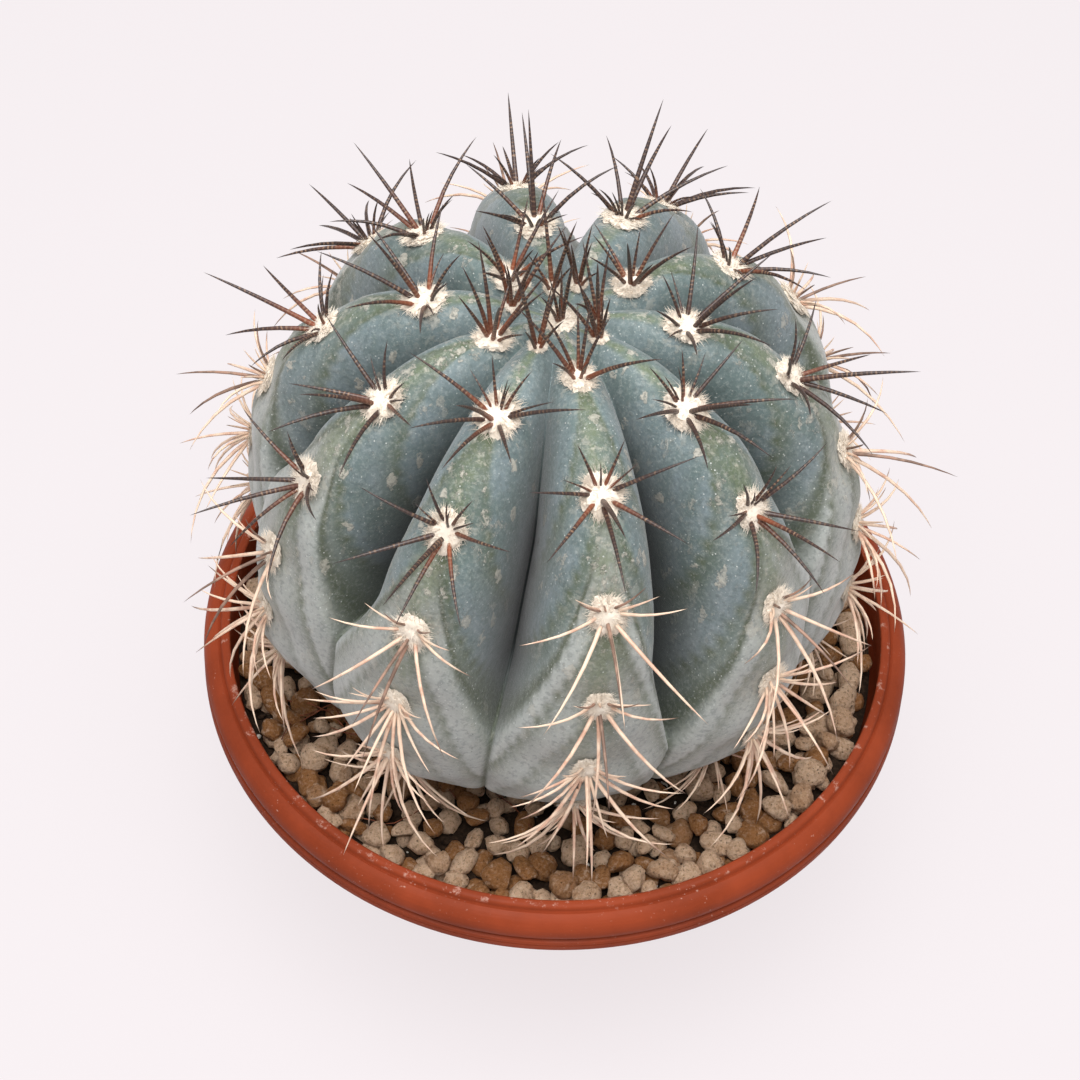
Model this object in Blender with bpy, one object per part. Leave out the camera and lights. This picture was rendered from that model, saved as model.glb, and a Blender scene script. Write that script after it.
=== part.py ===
"""Potted turk's cap cactus: a ten-ribbed blue-grey globe, too young for its cap, in a 20 cm bowl pot.

Metres, +Z up. The origin is the centre of the pot's flat underside, and the best side faces -Y.
"""

import math
import random

import bmesh
import bpy
from mathutils import Matrix, Vector
from mathutils.bvhtree import BVHTree
from mathutils.geometry import delaunay_2d_cdt, intersect_line_line

# Room left between pieces that touch
GAP = 0.0003
MERGE = 0.00001
# Angles between faces from which an edge is shown sharp
POT_SHARP = math.radians(35.0)
GRAVEL_SHARP = math.radians(20.0)
STEM_SHARP = math.radians(60.0)

# Pot: a shallow bowl with a rolled rim that hangs as a hollow skirt
POT_SIDES = 40
POT_LIP_HEIGHT = 0.0800
POT_LIP_RADIUS = 0.0928
POT_RIM_RADIUS = 0.1000
POT_RIM_SHOULDER = 0.0735
POT_SHOULDER_DRAW = (0.0016, 0.0030)
POT_LIP_OUTER = (0.0022, 0.0008)
POT_LIP_INNER = (0.0010, 0.0006)
POT_GROOVE_RADIUS = 0.0986
POT_GROOVE_HEIGHT = 0.0715
POT_GROOVE_HALF = 0.0008
POT_BAND_DRAW = 0.0004
POT_SKIRT_BOTTOM = 0.0668
POT_SKIRT_EDGE = (0.0004, 0.0008)
POT_SKIRT_WALL = 0.0020
POT_WALL = 0.0022
POT_UNDER_RIM_RADIUS = 0.0945
POT_UNDER_RIM_HEIGHT = 0.0695
POT_BELLY_ROUNDNESS = 0.25
POT_BELLY_STEPS = 4
POT_BASE_RADIUS = 0.0580
POT_BASE_EDGE = 0.0030
POT_INNER_FOOT = 0.0010
POT_FLOOR = 0.0030
DRAIN_HOLES = 6
DRAIN_RADIUS = 0.0045
DRAIN_CIRCLE = 0.0350
DRILL_SIDES = 12
DRILL_REACH = 3.0

# Soil and its dressing of pumice gravel
SOIL_TOP = 0.0660
SOIL_FIT = 0.00045
GRAVEL_BED_THICKNESS = 0.0012
GRAVEL_NECK_ROOM = 0.0065
PEBBLE_SPACING = 0.0092
PEBBLE_MARGIN = 0.0040
PEBBLE_TRIES = 12000
PEBBLE_HEIGHT = (0.0030, 0.0052)
PEBBLE_TAPER = (0.56, 0.74)
PEBBLE_SHOULDER = 0.74
PEBBLE_LEAN = 0.16
PEBBLE_MIRRORED = 1.6
PEBBLE_SEED = 11

# Stem: a globe whose crest line is a rounded oval, with a sunken growing point
RIBS = 10
STEM_CENTRE = Vector((-0.0030, 0.0, 0.0))
STEM_RADIUS = 0.0812
STEM_WIDEST_HEIGHT = 0.1234
STEM_RISE = 0.0840
STEM_DROP = 0.0468
CREST_WIDTH_POWER = 0.78
CREST_HEIGHT_POWER = 0.81
APEX_DIP = 0.0050
APEX_DIP_WIDTH = 0.0203
TUCK_ANGLE = 2.15
NECK_RADIUS = 0.0460
NECK_FULLNESS = 0.0080
NECK_HEIGHT = 0.0640
NECK_LEAD = 0.0110
NECK_SETTLE = 0.0090
NECK_GAP_DROP = 0.5
ROOT_RADIUS = 0.0400
ROOT_HEIGHT = 0.0480
CREST_RINGS = 19
RING_CROWDING = 0.93
TUCK_RINGS = 3
COLUMNS_PER_RIB = 8
CREST_TABLE_STEPS = 1200
CREST_TABLE_REACH = 1.06
CREST_SLOPE_STEP = 0.002

# Ribs: the first faces the front at the twist's height, and they wind slightly as they climb
FIRST_RIB_TURN = math.radians(9.5)
RIB_TWIST = math.radians(3.9) / 0.060
TWIST_HEIGHT = 0.1326
# Grooves between them: none at the growing point, soon at their deepest, and closed above the soil,
# by the angle swept from the growing point
GROOVE_DEPTH = 0.0350
GROOVE_DEEPEST = 0.95
GROOVE_REACH_UP = 0.62
GROOVE_REACH_DOWN = 0.78
GROOVE_OPENING = 0.18
PLUMP_FLANK = 1.9
KEELED_FLANK = 1.15
KEELED_BETWEEN = (1.0, 1.9)
CREST_SWELL = 0.0016

# Areoles: distance along the crest from the growing point to each rib's youngest, then the rule
# that closes the steps towards the base
YOUNGEST_AREOLE = (0.0221, 0.0412, 0.0313, 0.0203, 0.0399, 0.0312, 0.0168, 0.0336, 0.0189, 0.0362)
AREOLE_STEP = 0.0325
AREOLE_CLOSING = 0.07
AREOLES_ON_RIB = (6, 6, 6, 6, 5, 6, 6, 6, 6, 6)
CROWN_REACH = 0.0250

# Wool cushions, largest near the top
CUSHION_LENGTH = (0.0056, 0.0034)
CUSHION_FADE = 0.1700
CUSHION_ASPECT = 0.86
CUSHION_RISE = 0.0033
CUSHION_SINK = 0.0002

# Spines: turn from the upward direction along the rib, lean off the rib, length, root radius
UPPER_SPINES = (
    (28.0, 38.0, 0.0130, 0.00062),
    (-30.0, 40.0, 0.0120, 0.00062),
    (82.0, 27.0, 0.0200, 0.00075),
    (-78.0, 26.0, 0.0190, 0.00075),
    (132.0, 26.0, 0.0210, 0.00075),
    (-136.0, 27.0, 0.0220, 0.00075),
    (176.0, 30.0, 0.0240, 0.00080),
    (174.0, 62.0, 0.0265, 0.00095),
)
LOWER_SPINES = (
    (40.0, 34.0, 0.0110, 0.00050),
    (-42.0, 34.0, 0.0110, 0.00050),
    (86.0, 22.0, 0.0190, 0.00060),
    (-84.0, 22.0, 0.0200, 0.00060),
    (138.0, 20.0, 0.0280, 0.00070),
    (-140.0, 20.0, 0.0280, 0.00070),
    (180.0, 24.0, 0.0290, 0.00075),
    (178.0, 60.0, 0.0230, 0.00075),
)
YOUNG_PAD_LENGTH = 0.0074
CROWN_WOOL_REACH = 0.0155
CROWN_WOOL_DEPTH = 0.0014
CROWN_WOOL_RINGS = ((0.35, 1.0), (0.75, 1.0), (1.0, 0.6))
CROWN_WOOL_SINK = 0.0010
CROWN_WOOL_CORE = 0.0040
CROWN_SPINES = 14
CROWN_SPINE_LENGTH = (0.0140, 0.0260)
CROWN_SPINE_DISTANCE = (0.0050, 0.0125)
CROWN_SPINE_LEAN = (58.0, 80.0)
CROWN_SPINE_SWING = 12.0
CROWN_SPINE_RADIUS = 0.0007
PALE_FROM = 0.0800
# Young sprays stand up, and open out as their areoles move down the rib
YOUNG_LIFT = 16.0
YOUNG_UNTIL = 0.0500
SPINE_SIDES = 3
SPINE_ROOT_HEIGHT = 0.0009
SPINE_ROOT_SPREAD = 0.42
STEEPEST_LEAN = 88.0
SPINE_SEED = 5
SPINE_TURN_SPREAD = 7.0
SPINE_LENGTH_SPREAD = 0.14
SPINE_CLEARANCE = 0.0006
SPINE_STATIONS = (0.3, 0.5, 0.7, 0.85, 1.0)
SPINE_FREE_FROM = 0.22
# Heights that spines stay above over the gravel and over the rim
OVER_GRAVEL = 0.0742
OVER_RIM = 0.0818
RIM_ZONE = (0.0890, 0.1060)
# Turns and leans tried in order until a spine is clear, in degrees, and then how far it is shortened
NUDGES = (0.0, 9.0, -9.0, 18.0, -18.0, 28.0, -28.0)
LIFTS = (0.0, 8.0, 16.0, 25.0, 35.0, 46.0)
SHORTENINGS = (1.0, 0.85, 0.7)


def clear_scene():
    """Remove what the scene holds."""
    for old in list(bpy.data.objects):
        bpy.data.objects.remove(old, do_unlink=True)


def material(name, colour, roughness):
    """Plain finish of one kind of piece."""
    finish = bpy.data.materials.new(name)
    finish.use_nodes = True
    shader = finish.node_tree.nodes["Principled BSDF"]
    shader.inputs["Base Color"].default_value = (*colour, 1.0)
    shader.inputs["Roughness"].default_value = roughness
    shader.inputs["Metallic"].default_value = 0.0
    return finish


def place(name, bm, finish, smooth_angle=None):
    """Turn a bmesh into a named object."""
    mesh = bpy.data.meshes.new(name)
    bm.to_mesh(mesh)
    bm.free()
    mesh.materials.append(finish)
    if smooth_angle is not None:
        mesh.shade_smooth()
        mesh.set_sharp_from_angle(angle=smooth_angle)
    piece = bpy.data.objects.new(name, mesh)
    bpy.context.collection.objects.link(piece)
    return piece


def turned(name, profile, sides, finish, smooth_angle):
    """Revolve an outline of (radius, height) points, which starts and ends on the pot's axis."""
    bm = bmesh.new()
    points = [bm.verts.new((radius, 0.0, height)) for radius, height in profile]
    edges = [bm.edges.new(pair) for pair in zip(points, points[1:])]
    bmesh.ops.spin(bm, geom=points + edges, cent=(0.0, 0.0, 0.0), axis=(0.0, 0.0, 1.0),
                   angle=math.tau, steps=sides, use_merge=True)
    bmesh.ops.remove_doubles(bm, verts=bm.verts, dist=MERGE)
    bmesh.ops.recalc_face_normals(bm, faces=bm.faces)
    return place(name, bm, finish, smooth_angle)


def apply_boolean(piece, operation, solver, other=None, group=None):
    """Cut or join with one object or with a collection, and keep the result."""
    step = piece.modifiers.new(operation, "BOOLEAN")
    step.operation = operation
    step.solver = solver
    step.material_mode = "TRANSFER"
    if group is None:
        step.object = other
    else:
        step.operand_type = "COLLECTION"
        step.collection = group
    bpy.context.view_layer.update()
    seen = piece.evaluated_get(bpy.context.evaluated_depsgraph_get())
    result = bpy.data.meshes.new_from_object(seen)
    piece.modifiers.remove(step)
    piece.data = result


def fuse(piece, repeats):
    """Join the repeats to the piece they grow from, and drop them."""
    group = bpy.data.collections.new("repeats")
    bpy.context.scene.collection.children.link(group)
    for repeat in repeats:
        group.objects.link(repeat)
    apply_boolean(piece, "UNION", "MANIFOLD", group=group)
    for repeat in repeats:
        bpy.data.objects.remove(repeat, do_unlink=True)
    bpy.data.collections.remove(group)


def keep_largest_body(piece):
    """Drop loose scraps that a cut leaves."""
    bm = bmesh.new()
    bm.from_mesh(piece.data)
    unseen = set(bm.faces)
    bodies = []
    while unseen:
        front = [unseen.pop()]
        body = set(front)
        while front:
            face = front.pop()
            for edge in face.edges:
                for beside in edge.link_faces:
                    if beside in unseen:
                        unseen.discard(beside)
                        body.add(beside)
                        front.append(beside)
        bodies.append(body)
    bodies.sort(key=lambda body: sum(face.calc_area() for face in body))
    scraps = [face for body in bodies[:-1] for face in body]
    bmesh.ops.delete(bm, geom=scraps, context="FACES")
    bm.to_mesh(piece.data)
    bm.free()


def crest(angle):
    """Radius and height of the crest line, by the angle swept from the growing point."""
    radius = STEM_RADIUS * max(math.sin(angle), 0.0) ** CREST_WIDTH_POWER
    lean = math.cos(angle)
    reach = STEM_RISE if lean > 0.0 else STEM_DROP
    height = STEM_WIDEST_HEIGHT + math.copysign(reach * abs(lean) ** CREST_HEIGHT_POWER, lean)
    return radius, height - APEX_DIP * math.exp(-((radius / APEX_DIP_WIDTH) ** 2))


def crest_normal(angle):
    """Outward direction of the crest line, as (radial, upward)."""
    r0, z0 = crest(angle - CREST_SLOPE_STEP)
    r1, z1 = crest(angle + CREST_SLOPE_STEP)
    length = math.hypot(r1 - r0, z1 - z0)
    return (z0 - z1) / length, (r1 - r0) / length


def crest_table():
    """Distances along the crest from the growing point, each with its angle."""
    table = [(0.0, 0.0)]
    before = (0.0, crest(0.0)[1])
    for index in range(1, CREST_TABLE_STEPS + 1):
        angle = TUCK_ANGLE * CREST_TABLE_REACH * index / CREST_TABLE_STEPS
        here = crest(angle)
        table.append((table[-1][0] + math.dist(before, here), angle))
        before = here
    return table


CREST_TABLE = crest_table()


def angle_at(distance):
    """Angle of the crest point at a distance from the growing point."""
    for (near, low), (far, high) in zip(CREST_TABLE, CREST_TABLE[1:]):
        if distance <= far:
            return low + (high - low) * (distance - near) / (far - near)
    return CREST_TABLE[-1][1]


def areole_distances(rib):
    """Where a rib bears its areoles, from the youngest to the oldest."""
    distances = [YOUNGEST_AREOLE[rib]]
    while len(distances) < AREOLES_ON_RIB[rib]:
        last = distances[-1]
        distances.append(last + AREOLE_STEP - AREOLE_CLOSING * last)
    return distances


def crest_swell(rib, distance):
    """How far a crest stands out between its areoles."""
    marks = [0.0] + areole_distances(rib)
    for above, below in zip(marks, marks[1:]):
        if distance < below:
            return CREST_SWELL * math.sin(math.pi * (distance - above) / (below - above)) ** 2
    return 0.0


def rib_turn(rib, height):
    """Direction of a rib's crest, from -Y towards +X."""
    return FIRST_RIB_TURN + math.tau * rib / RIBS + RIB_TWIST * (height - TWIST_HEIGHT)


def around(turn, radius, height):
    """Point at a turn from -Y towards +X about the stem's axis."""
    return STEM_CENTRE + Vector((radius * math.sin(turn), -radius * math.cos(turn), height))


def crest_distance(angle):
    """Distance along the crest of an angle."""
    for (near, low), (far, high) in zip(CREST_TABLE, CREST_TABLE[1:]):
        if angle <= high:
            return near + (far - near) * (angle - low) / (high - low)
    return CREST_TABLE[-1][0]


def flank_power(angle):
    """Roundness of a rib: plump near the top, drawn to a keel towards the base."""
    share = (angle - KEELED_BETWEEN[0]) / (KEELED_BETWEEN[1] - KEELED_BETWEEN[0])
    share = max(0.0, min(1.0, share))
    share = share * share * (3.0 - 2.0 * share)
    return PLUMP_FLANK + (KEELED_FLANK - PLUMP_FLANK) * share


def groove_depth(angle):
    """Depth of the grooves below the crests."""
    above = max(GROOVE_DEEPEST - angle, 0.0) / GROOVE_REACH_UP
    below = max(angle - GROOVE_DEEPEST, 0.0) / GROOVE_REACH_DOWN
    opened = 1.0 - math.exp(-((angle / GROOVE_OPENING) ** 2))
    return GROOVE_DEPTH * math.exp(-(above ** 2) - below ** 3) * opened


def stem_point(rib, across, angle, offset):
    """Skin of a rib: across runs from 0 on the crest to 1 or -1 in the grooves."""
    radius, height = crest(angle)
    out, up = crest_normal(angle)
    sunk = groove_depth(angle) * abs(across) ** flank_power(angle)
    sunk -= crest_swell(rib, crest_distance(angle)) * (1.0 - across * across) ** 2
    sunk -= offset
    turn = rib_turn(rib, height) + across * math.pi / RIBS
    return around(turn, radius - out * sunk, height - up * sunk)


def neck_point(rib, across, share, offset):
    """Underside of the stem, which draws in from the tuck to the soil."""
    top = stem_point(rib, across, TUCK_ANGLE, 0.0) - STEM_CENTRE
    start = Vector((math.hypot(top.x, top.y), top.z))
    out, up = crest_normal(TUCK_ANGLE)
    lead = start + Vector((up, -out)) * NECK_LEAD
    finish = Vector((NECK_RADIUS, NECK_HEIGHT))
    settle = finish + Vector((NECK_FULLNESS * (1.0 - across * across), NECK_SETTLE))
    rest = 1.0 - share
    spot = (start * rest ** 3 + lead * 3.0 * rest ** 2 * share
            + settle * 3.0 * rest * share ** 2 + finish * share ** 3)
    turn = math.atan2(top.x, -top.y)
    return around(turn, spot.x + offset, spot.y - offset * NECK_GAP_DROP)


def stem_mesh(offset):
    """Closed skin of the stem, grown outward by an offset."""
    bm = bmesh.new()
    halves = COLUMNS_PER_RIB // 2
    columns = [(rib, step / halves) for rib in range(RIBS) for step in range(-halves, halves)]
    rows = []
    for ring in range(1, CREST_RINGS + 1):
        angle = TUCK_ANGLE * (ring / CREST_RINGS) ** RING_CROWDING
        rows.append([stem_point(rib, across, angle, offset) for rib, across in columns])
    for ring in range(1, TUCK_RINGS + 1):
        share = ring / TUCK_RINGS
        rows.append([neck_point(rib, across, share, offset) for rib, across in columns])
    root = []
    for point in rows[-1]:
        spoke = point - STEM_CENTRE
        root.append(around(math.atan2(spoke.x, -spoke.y), ROOT_RADIUS + offset, ROOT_HEIGHT - offset))
    rows.append(root)
    loops = [[bm.verts.new(point) for point in row] for row in rows]
    top = bm.verts.new(around(0.0, 0.0, crest(0.0)[1] + offset))
    bottom = bm.verts.new(around(0.0, 0.0, ROOT_HEIGHT - offset))
    count = len(columns)
    for index in range(count):
        after = (index + 1) % count
        bm.faces.new((top, loops[0][index], loops[0][after]))
        bm.faces.new((bottom, loops[-1][after], loops[-1][index]))
        for upper, lower in zip(loops, loops[1:]):
            bm.faces.new((upper[index], lower[index], lower[after], upper[after]))
    return bm


def belly(foot, top):
    """Bulging stretch of the pot's wall from its foot to under the rim, as (radius, height) points."""
    points = []
    for step in range(POT_BELLY_STEPS + 1):
        share = step / POT_BELLY_STEPS
        sweep = math.pi / 2.0 * share
        out = POT_BELLY_ROUNDNESS * math.sin(sweep) + (1.0 - POT_BELLY_ROUNDNESS) * share
        up = POT_BELLY_ROUNDNESS * (1.0 - math.cos(sweep)) + (1.0 - POT_BELLY_ROUNDNESS) * share
        points.append((foot[0] + (top[0] - foot[0]) * out, foot[1] + (top[1] - foot[1]) * up))
    return points


def pot_inner_wall():
    """Inner outline of the pot, from the lip down to the floor's edge."""
    foot = (POT_BASE_RADIUS - POT_INNER_FOOT, POT_FLOOR)
    top = (POT_UNDER_RIM_RADIUS - POT_WALL, POT_UNDER_RIM_HEIGHT)
    lip = (POT_LIP_RADIUS - POT_LIP_INNER[0], POT_LIP_HEIGHT - POT_LIP_INNER[1])
    return [lip] + belly(foot, top)[::-1]


def make_pot(finish):
    """Turned shell with drain holes through its floor."""
    foot = (POT_BASE_RADIUS + POT_BASE_EDGE, POT_BASE_EDGE)
    outer = [(0.0, 0.0), (POT_BASE_RADIUS, 0.0)]
    outer += belly(foot, (POT_UNDER_RIM_RADIUS, POT_UNDER_RIM_HEIGHT))
    outer += [
        (POT_GROOVE_RADIUS - POT_SKIRT_WALL, POT_UNDER_RIM_HEIGHT),
        (POT_RIM_RADIUS - POT_SKIRT_WALL, POT_SKIRT_BOTTOM),
        (POT_RIM_RADIUS - POT_SKIRT_EDGE[0], POT_SKIRT_BOTTOM),
        (POT_RIM_RADIUS, POT_SKIRT_BOTTOM + POT_SKIRT_EDGE[1]),
        (POT_RIM_RADIUS - POT_BAND_DRAW, POT_GROOVE_HEIGHT - POT_GROOVE_HALF),
        (POT_GROOVE_RADIUS, POT_GROOVE_HEIGHT),
        (POT_RIM_RADIUS - POT_BAND_DRAW, POT_GROOVE_HEIGHT + POT_GROOVE_HALF),
        (POT_RIM_RADIUS - POT_BAND_DRAW / 2.0, POT_RIM_SHOULDER),
        (POT_RIM_RADIUS - POT_SHOULDER_DRAW[0], POT_RIM_SHOULDER + POT_SHOULDER_DRAW[1]),
        (POT_LIP_RADIUS + POT_LIP_OUTER[0], POT_LIP_HEIGHT - POT_LIP_OUTER[1]),
        (POT_LIP_RADIUS, POT_LIP_HEIGHT),
    ]
    profile = outer + pot_inner_wall() + [(0.0, POT_FLOOR)]
    pot = turned("pot", profile, POT_SIDES, finish, POT_SHARP)
    for hole in range(DRAIN_HOLES):
        turn = math.tau * hole / DRAIN_HOLES
        bm = bmesh.new()
        spot = Vector((DRAIN_CIRCLE * math.sin(turn), -DRAIN_CIRCLE * math.cos(turn), POT_FLOOR / 2.0))
        bmesh.ops.create_cone(bm, cap_ends=True, segments=DRILL_SIDES, radius1=DRAIN_RADIUS,
                              radius2=DRAIN_RADIUS, depth=POT_FLOOR * DRILL_REACH,
                              matrix=Matrix.Translation(spot))
        drill = place("drill", bm, finish)
        apply_boolean(pot, "DIFFERENCE", "EXACT", other=drill)
        bpy.data.objects.remove(drill, do_unlink=True)


def wall_radius(height):
    """Inner radius of the pot at a height."""
    wall = pot_inner_wall()
    for (r1, z1), (r0, z0) in zip(wall, wall[1:]):
        if height >= z0:
            return r0 + (r1 - r0) * (height - z0) / (z1 - z0)
    return wall[-1][0]


def make_soil(finish, stem_cutter):
    """Fill of the pot, with a plain hole for the stem's foot."""
    wall = [(r, z) for r, z in pot_inner_wall() if z < SOIL_TOP]
    profile = [(0.0, POT_FLOOR + SOIL_FIT)]
    profile += [(r - 2.0 * SOIL_FIT, z + SOIL_FIT) for r, z in reversed(wall)]
    profile += [(wall_radius(SOIL_TOP) - SOIL_FIT, SOIL_TOP), (0.0, SOIL_TOP)]
    soil = turned("soil", profile, POT_SIDES, finish, POT_SHARP)
    apply_boolean(soil, "DIFFERENCE", "EXACT", other=stem_cutter)


def pebble_centres(rng, neck, wall):
    """Centres scattered between two (middle, radius) circles, none too near another or a circle."""
    centres = []
    for _ in range(PEBBLE_TRIES):
        reach = wall[1] - PEBBLE_MARGIN
        spot = Vector((rng.uniform(-reach, reach), rng.uniform(-reach, reach)))
        if spot.length > reach or (spot - neck[0]).length < neck[1] + PEBBLE_MARGIN:
            continue
        if all((spot - other).length > PEBBLE_SPACING for other in centres):
            centres.append(spot)
    return centres


def circumcentre(a, b, c):
    """Point as far from each of three others."""
    b = b - a
    c = c - a
    scale = 2.0 * (b.x * c.y - b.y * c.x)
    across = (c.y * b.length_squared - b.y * c.length_squared) / scale
    along = (b.x * c.length_squared - c.x * b.length_squared) / scale
    return a + Vector((across, along))


def onto(circle, spot, reach=1.0):
    """Point of a (middle, radius) circle nearest to a spot, or with reach 2 the spot's mirror image."""
    spoke = spot - circle[0]
    gap = circle[1] - spoke.length
    return spot + spoke.normalized() * gap * reach


def pebble_cells(bm, centres, neck, wall, height):
    """Floor of the gravel: one face for the ground that is nearest to each centre."""
    mirrored = []
    for spot in centres:
        for circle in (neck, wall):
            if (onto(circle, spot) - spot).length < PEBBLE_SPACING * PEBBLE_MIRRORED:
                mirrored.append(onto(circle, spot, 2.0))
    triangles = delaunay_2d_cdt(centres + mirrored, [], [], 0, MERGE)[2]
    corners = {}
    touching = {index: [] for index in range(len(centres))}
    for number, triangle in enumerate(triangles):
        owners = [index for index in triangle if index < len(centres)]
        if not owners:
            continue
        points = [(centres + mirrored)[index] for index in triangle]
        spot = circumcentre(*points)
        if len(owners) < 3:
            spot = min((onto(circle, spot) for circle in (neck, wall)), key=lambda edge: (edge - spot).length)
        corners[number] = bm.verts.new((spot.x, spot.y, height))
        for index in owners:
            touching[index].append(number)
    cells = []
    for index, numbers in touching.items():
        middle = centres[index]
        ring = [corners[number] for number in numbers]
        ring.sort(key=lambda vert: math.atan2(vert.co.y - middle.y, vert.co.x - middle.x))
        cells.append(bm.faces.new(ring))
    return cells


def raise_pebble(bm, cell, rng):
    """Draw a rounded stone up out of its cell."""
    middle = cell.calc_center_median()
    grown = bmesh.ops.extrude_face_region(bm, geom=[cell])["geom"]
    bmesh.ops.delete(bm, geom=[cell], context="FACES_ONLY")
    lift = rng.uniform(*PEBBLE_HEIGHT)
    lean = Vector((rng.uniform(-PEBBLE_LEAN, PEBBLE_LEAN), rng.uniform(-PEBBLE_LEAN, PEBBLE_LEAN), 0.0))
    for vert in (item for item in grown if isinstance(item, bmesh.types.BMVert)):
        spread = (vert.co - middle) * rng.uniform(*PEBBLE_TAPER)
        vert.co = middle + spread + Vector((0.0, 0.0, lift * PEBBLE_SHOULDER + spread.dot(lean)))
    caps = [item for item in grown if isinstance(item, bmesh.types.BMFace)]
    for point in bmesh.ops.poke(bm, faces=caps)["verts"]:
        point.co.z = middle.z + lift


def make_gravel(finish):
    """Stones drawn up side by side out of one thin bed that lies on the soil."""
    low = SOIL_TOP + GAP
    neck = (STEM_CENTRE.to_2d(), NECK_RADIUS + GRAVEL_NECK_ROOM)
    wall = (Vector((0.0, 0.0)), wall_radius(low) - SOIL_FIT)
    rng = random.Random(PEBBLE_SEED)
    bm = bmesh.new()
    centres = pebble_centres(rng, neck, wall)
    cells = pebble_cells(bm, centres, neck, wall, low + GRAVEL_BED_THICKNESS)
    rims = [edge for edge in bm.edges if edge.is_boundary]
    walls = bmesh.ops.extrude_edge_only(bm, edges=rims)["geom"]
    for vert in (item for item in walls if isinstance(item, bmesh.types.BMVert)):
        vert.co.z = low
    under = [item for item in walls if isinstance(item, bmesh.types.BMEdge) and item.is_boundary]
    bmesh.ops.bridge_loops(bm, edges=under)
    bmesh.ops.recalc_face_normals(bm, faces=bm.faces)
    for cell in cells:
        raise_pebble(bm, cell, rng)
    place("gravel", bm, finish, GRAVEL_SHARP)


def areole_frame(rib, distance):
    """Centre of an areole, with the directions out of the skin, up the rib and to its side."""
    angle = angle_at(distance)
    centre = stem_point(rib, 0.0, angle, 0.0)
    radius, height = crest(angle)
    out, up = crest_normal(angle)
    turn = rib_turn(rib, height)
    radial = Vector((math.sin(turn), -math.cos(turn), 0.0))
    outward = radial * out + Vector((0.0, 0.0, up))
    upward = radial * -up + Vector((0.0, 0.0, out))
    return centre, outward, upward, outward.cross(upward)


def cushion_length(distance):
    """Half length of the wool at a distance from the growing point."""
    share = min(distance / CUSHION_FADE, 1.0)
    return CUSHION_LENGTH[0] + (CUSHION_LENGTH[1] - CUSHION_LENGTH[0]) * share


def cushion(name, frame, length, finish):
    """Wool pad that swells over the crest at an areole."""
    centre, outward, upward, side = frame
    bm = bmesh.new()
    bmesh.ops.create_icosphere(bm, subdivisions=1, radius=1.0)
    for vert in bm.verts:
        share = vert.co.copy()
        vert.co = (centre + upward * share.x * length + side * share.y * length * CUSHION_ASPECT
                   + outward * (share.z * CUSHION_RISE - CUSHION_SINK))
    return place(name, bm, finish)


def needle(root, tip, radius, finish):
    """Straight three-sided spine."""
    bm = bmesh.new()
    along = tip - root
    bmesh.ops.create_cone(bm, cap_ends=True, segments=SPINE_SIDES, radius1=radius,
                          radius2=0.0, depth=along.length)
    turn = along.to_track_quat("Z", "Y").to_matrix().to_4x4()
    bmesh.ops.transform(bm, matrix=Matrix.Translation((root + tip) / 2.0) @ turn, verts=bm.verts)
    return place("needle", bm, finish)


def aim(frame, turn, lean):
    """Direction of a spine: turn from up the rib, lean off the skin, in degrees."""
    _, outward, upward, side = frame
    turn = math.radians(turn)
    lean = math.radians(min(lean, STEEPEST_LEAN))
    flat = upward * math.cos(turn) + side * math.sin(turn)
    return flat * math.cos(lean) + outward * math.sin(lean)


def segment_gap(a0, a1, b0, b1):
    """Nearest distance between two straight spines."""
    best = min(point_gap(a0, b0, b1), point_gap(a1, b0, b1), point_gap(b0, a0, a1), point_gap(b1, a0, a1))
    crossing = intersect_line_line(a0, a1, b0, b1)
    if crossing is not None:
        first, second = crossing
        inside_a = 0.0 < (first - a0).dot(a1 - a0) < (a1 - a0).length_squared
        inside_b = 0.0 < (second - b0).dot(b1 - b0) < (b1 - b0).length_squared
        if inside_a and inside_b:
            best = min(best, (first - second).length)
    return best


def point_gap(point, start, end):
    """Distance from a point to a straight spine."""
    along = end - start
    share = max(0.0, min(1.0, (point - start).dot(along) / along.length_squared))
    return (start + along * share - point).length


def is_clear(root, tip, radius, own, grown, pads, skin):
    """Whether a spine keeps off the stem, the gravel, the rim, and other areoles' pads and spines."""
    along = tip - root
    for share in SPINE_STATIONS:
        spot = root + along * share
        reach = math.hypot(spot.x, spot.y)
        floor = OVER_GRAVEL
        if RIM_ZONE[0] < reach < RIM_ZONE[1]:
            floor = OVER_RIM
        if reach < RIM_ZONE[1] and spot.z < floor:
            return False
    start = root + along * SPINE_FREE_FROM
    hit = skin.ray_cast(start, along.normalized(), along.length * (1.0 - SPINE_FREE_FROM) + SPINE_CLEARANCE)
    if hit[0] is not None:
        return False
    if skin.find_nearest(tip)[3] < radius + SPINE_CLEARANCE:
        return False
    for owner, a0, a1, thick in grown:
        if owner != own and segment_gap(root, tip, a0, a1) < radius + thick + SPINE_CLEARANCE:
            return False
    return all(owner == own or point_gap(spot, root, tip) > size + radius + SPINE_CLEARANCE
               for owner, spot, size in pads)


def grow(owner, frame, spread, turn, lean, length, radius, grown, pads, skin):
    """Find a clear way for one spine, as near as can be to the way it leans."""
    centre, outward, _, _ = frame
    for shorter in SHORTENINGS:
        for lift in LIFTS:
            for nudge in NUDGES:
                way = aim(frame, turn + nudge, lean + lift)
                root = centre + outward * SPINE_ROOT_HEIGHT + (way - outward * way.dot(outward)) * spread
                tip = root + way * length * shorter
                if is_clear(root, tip, radius, owner, grown, pads, skin):
                    grown.append((owner, root, tip, radius))
                    return root, tip, radius
    return None


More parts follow.
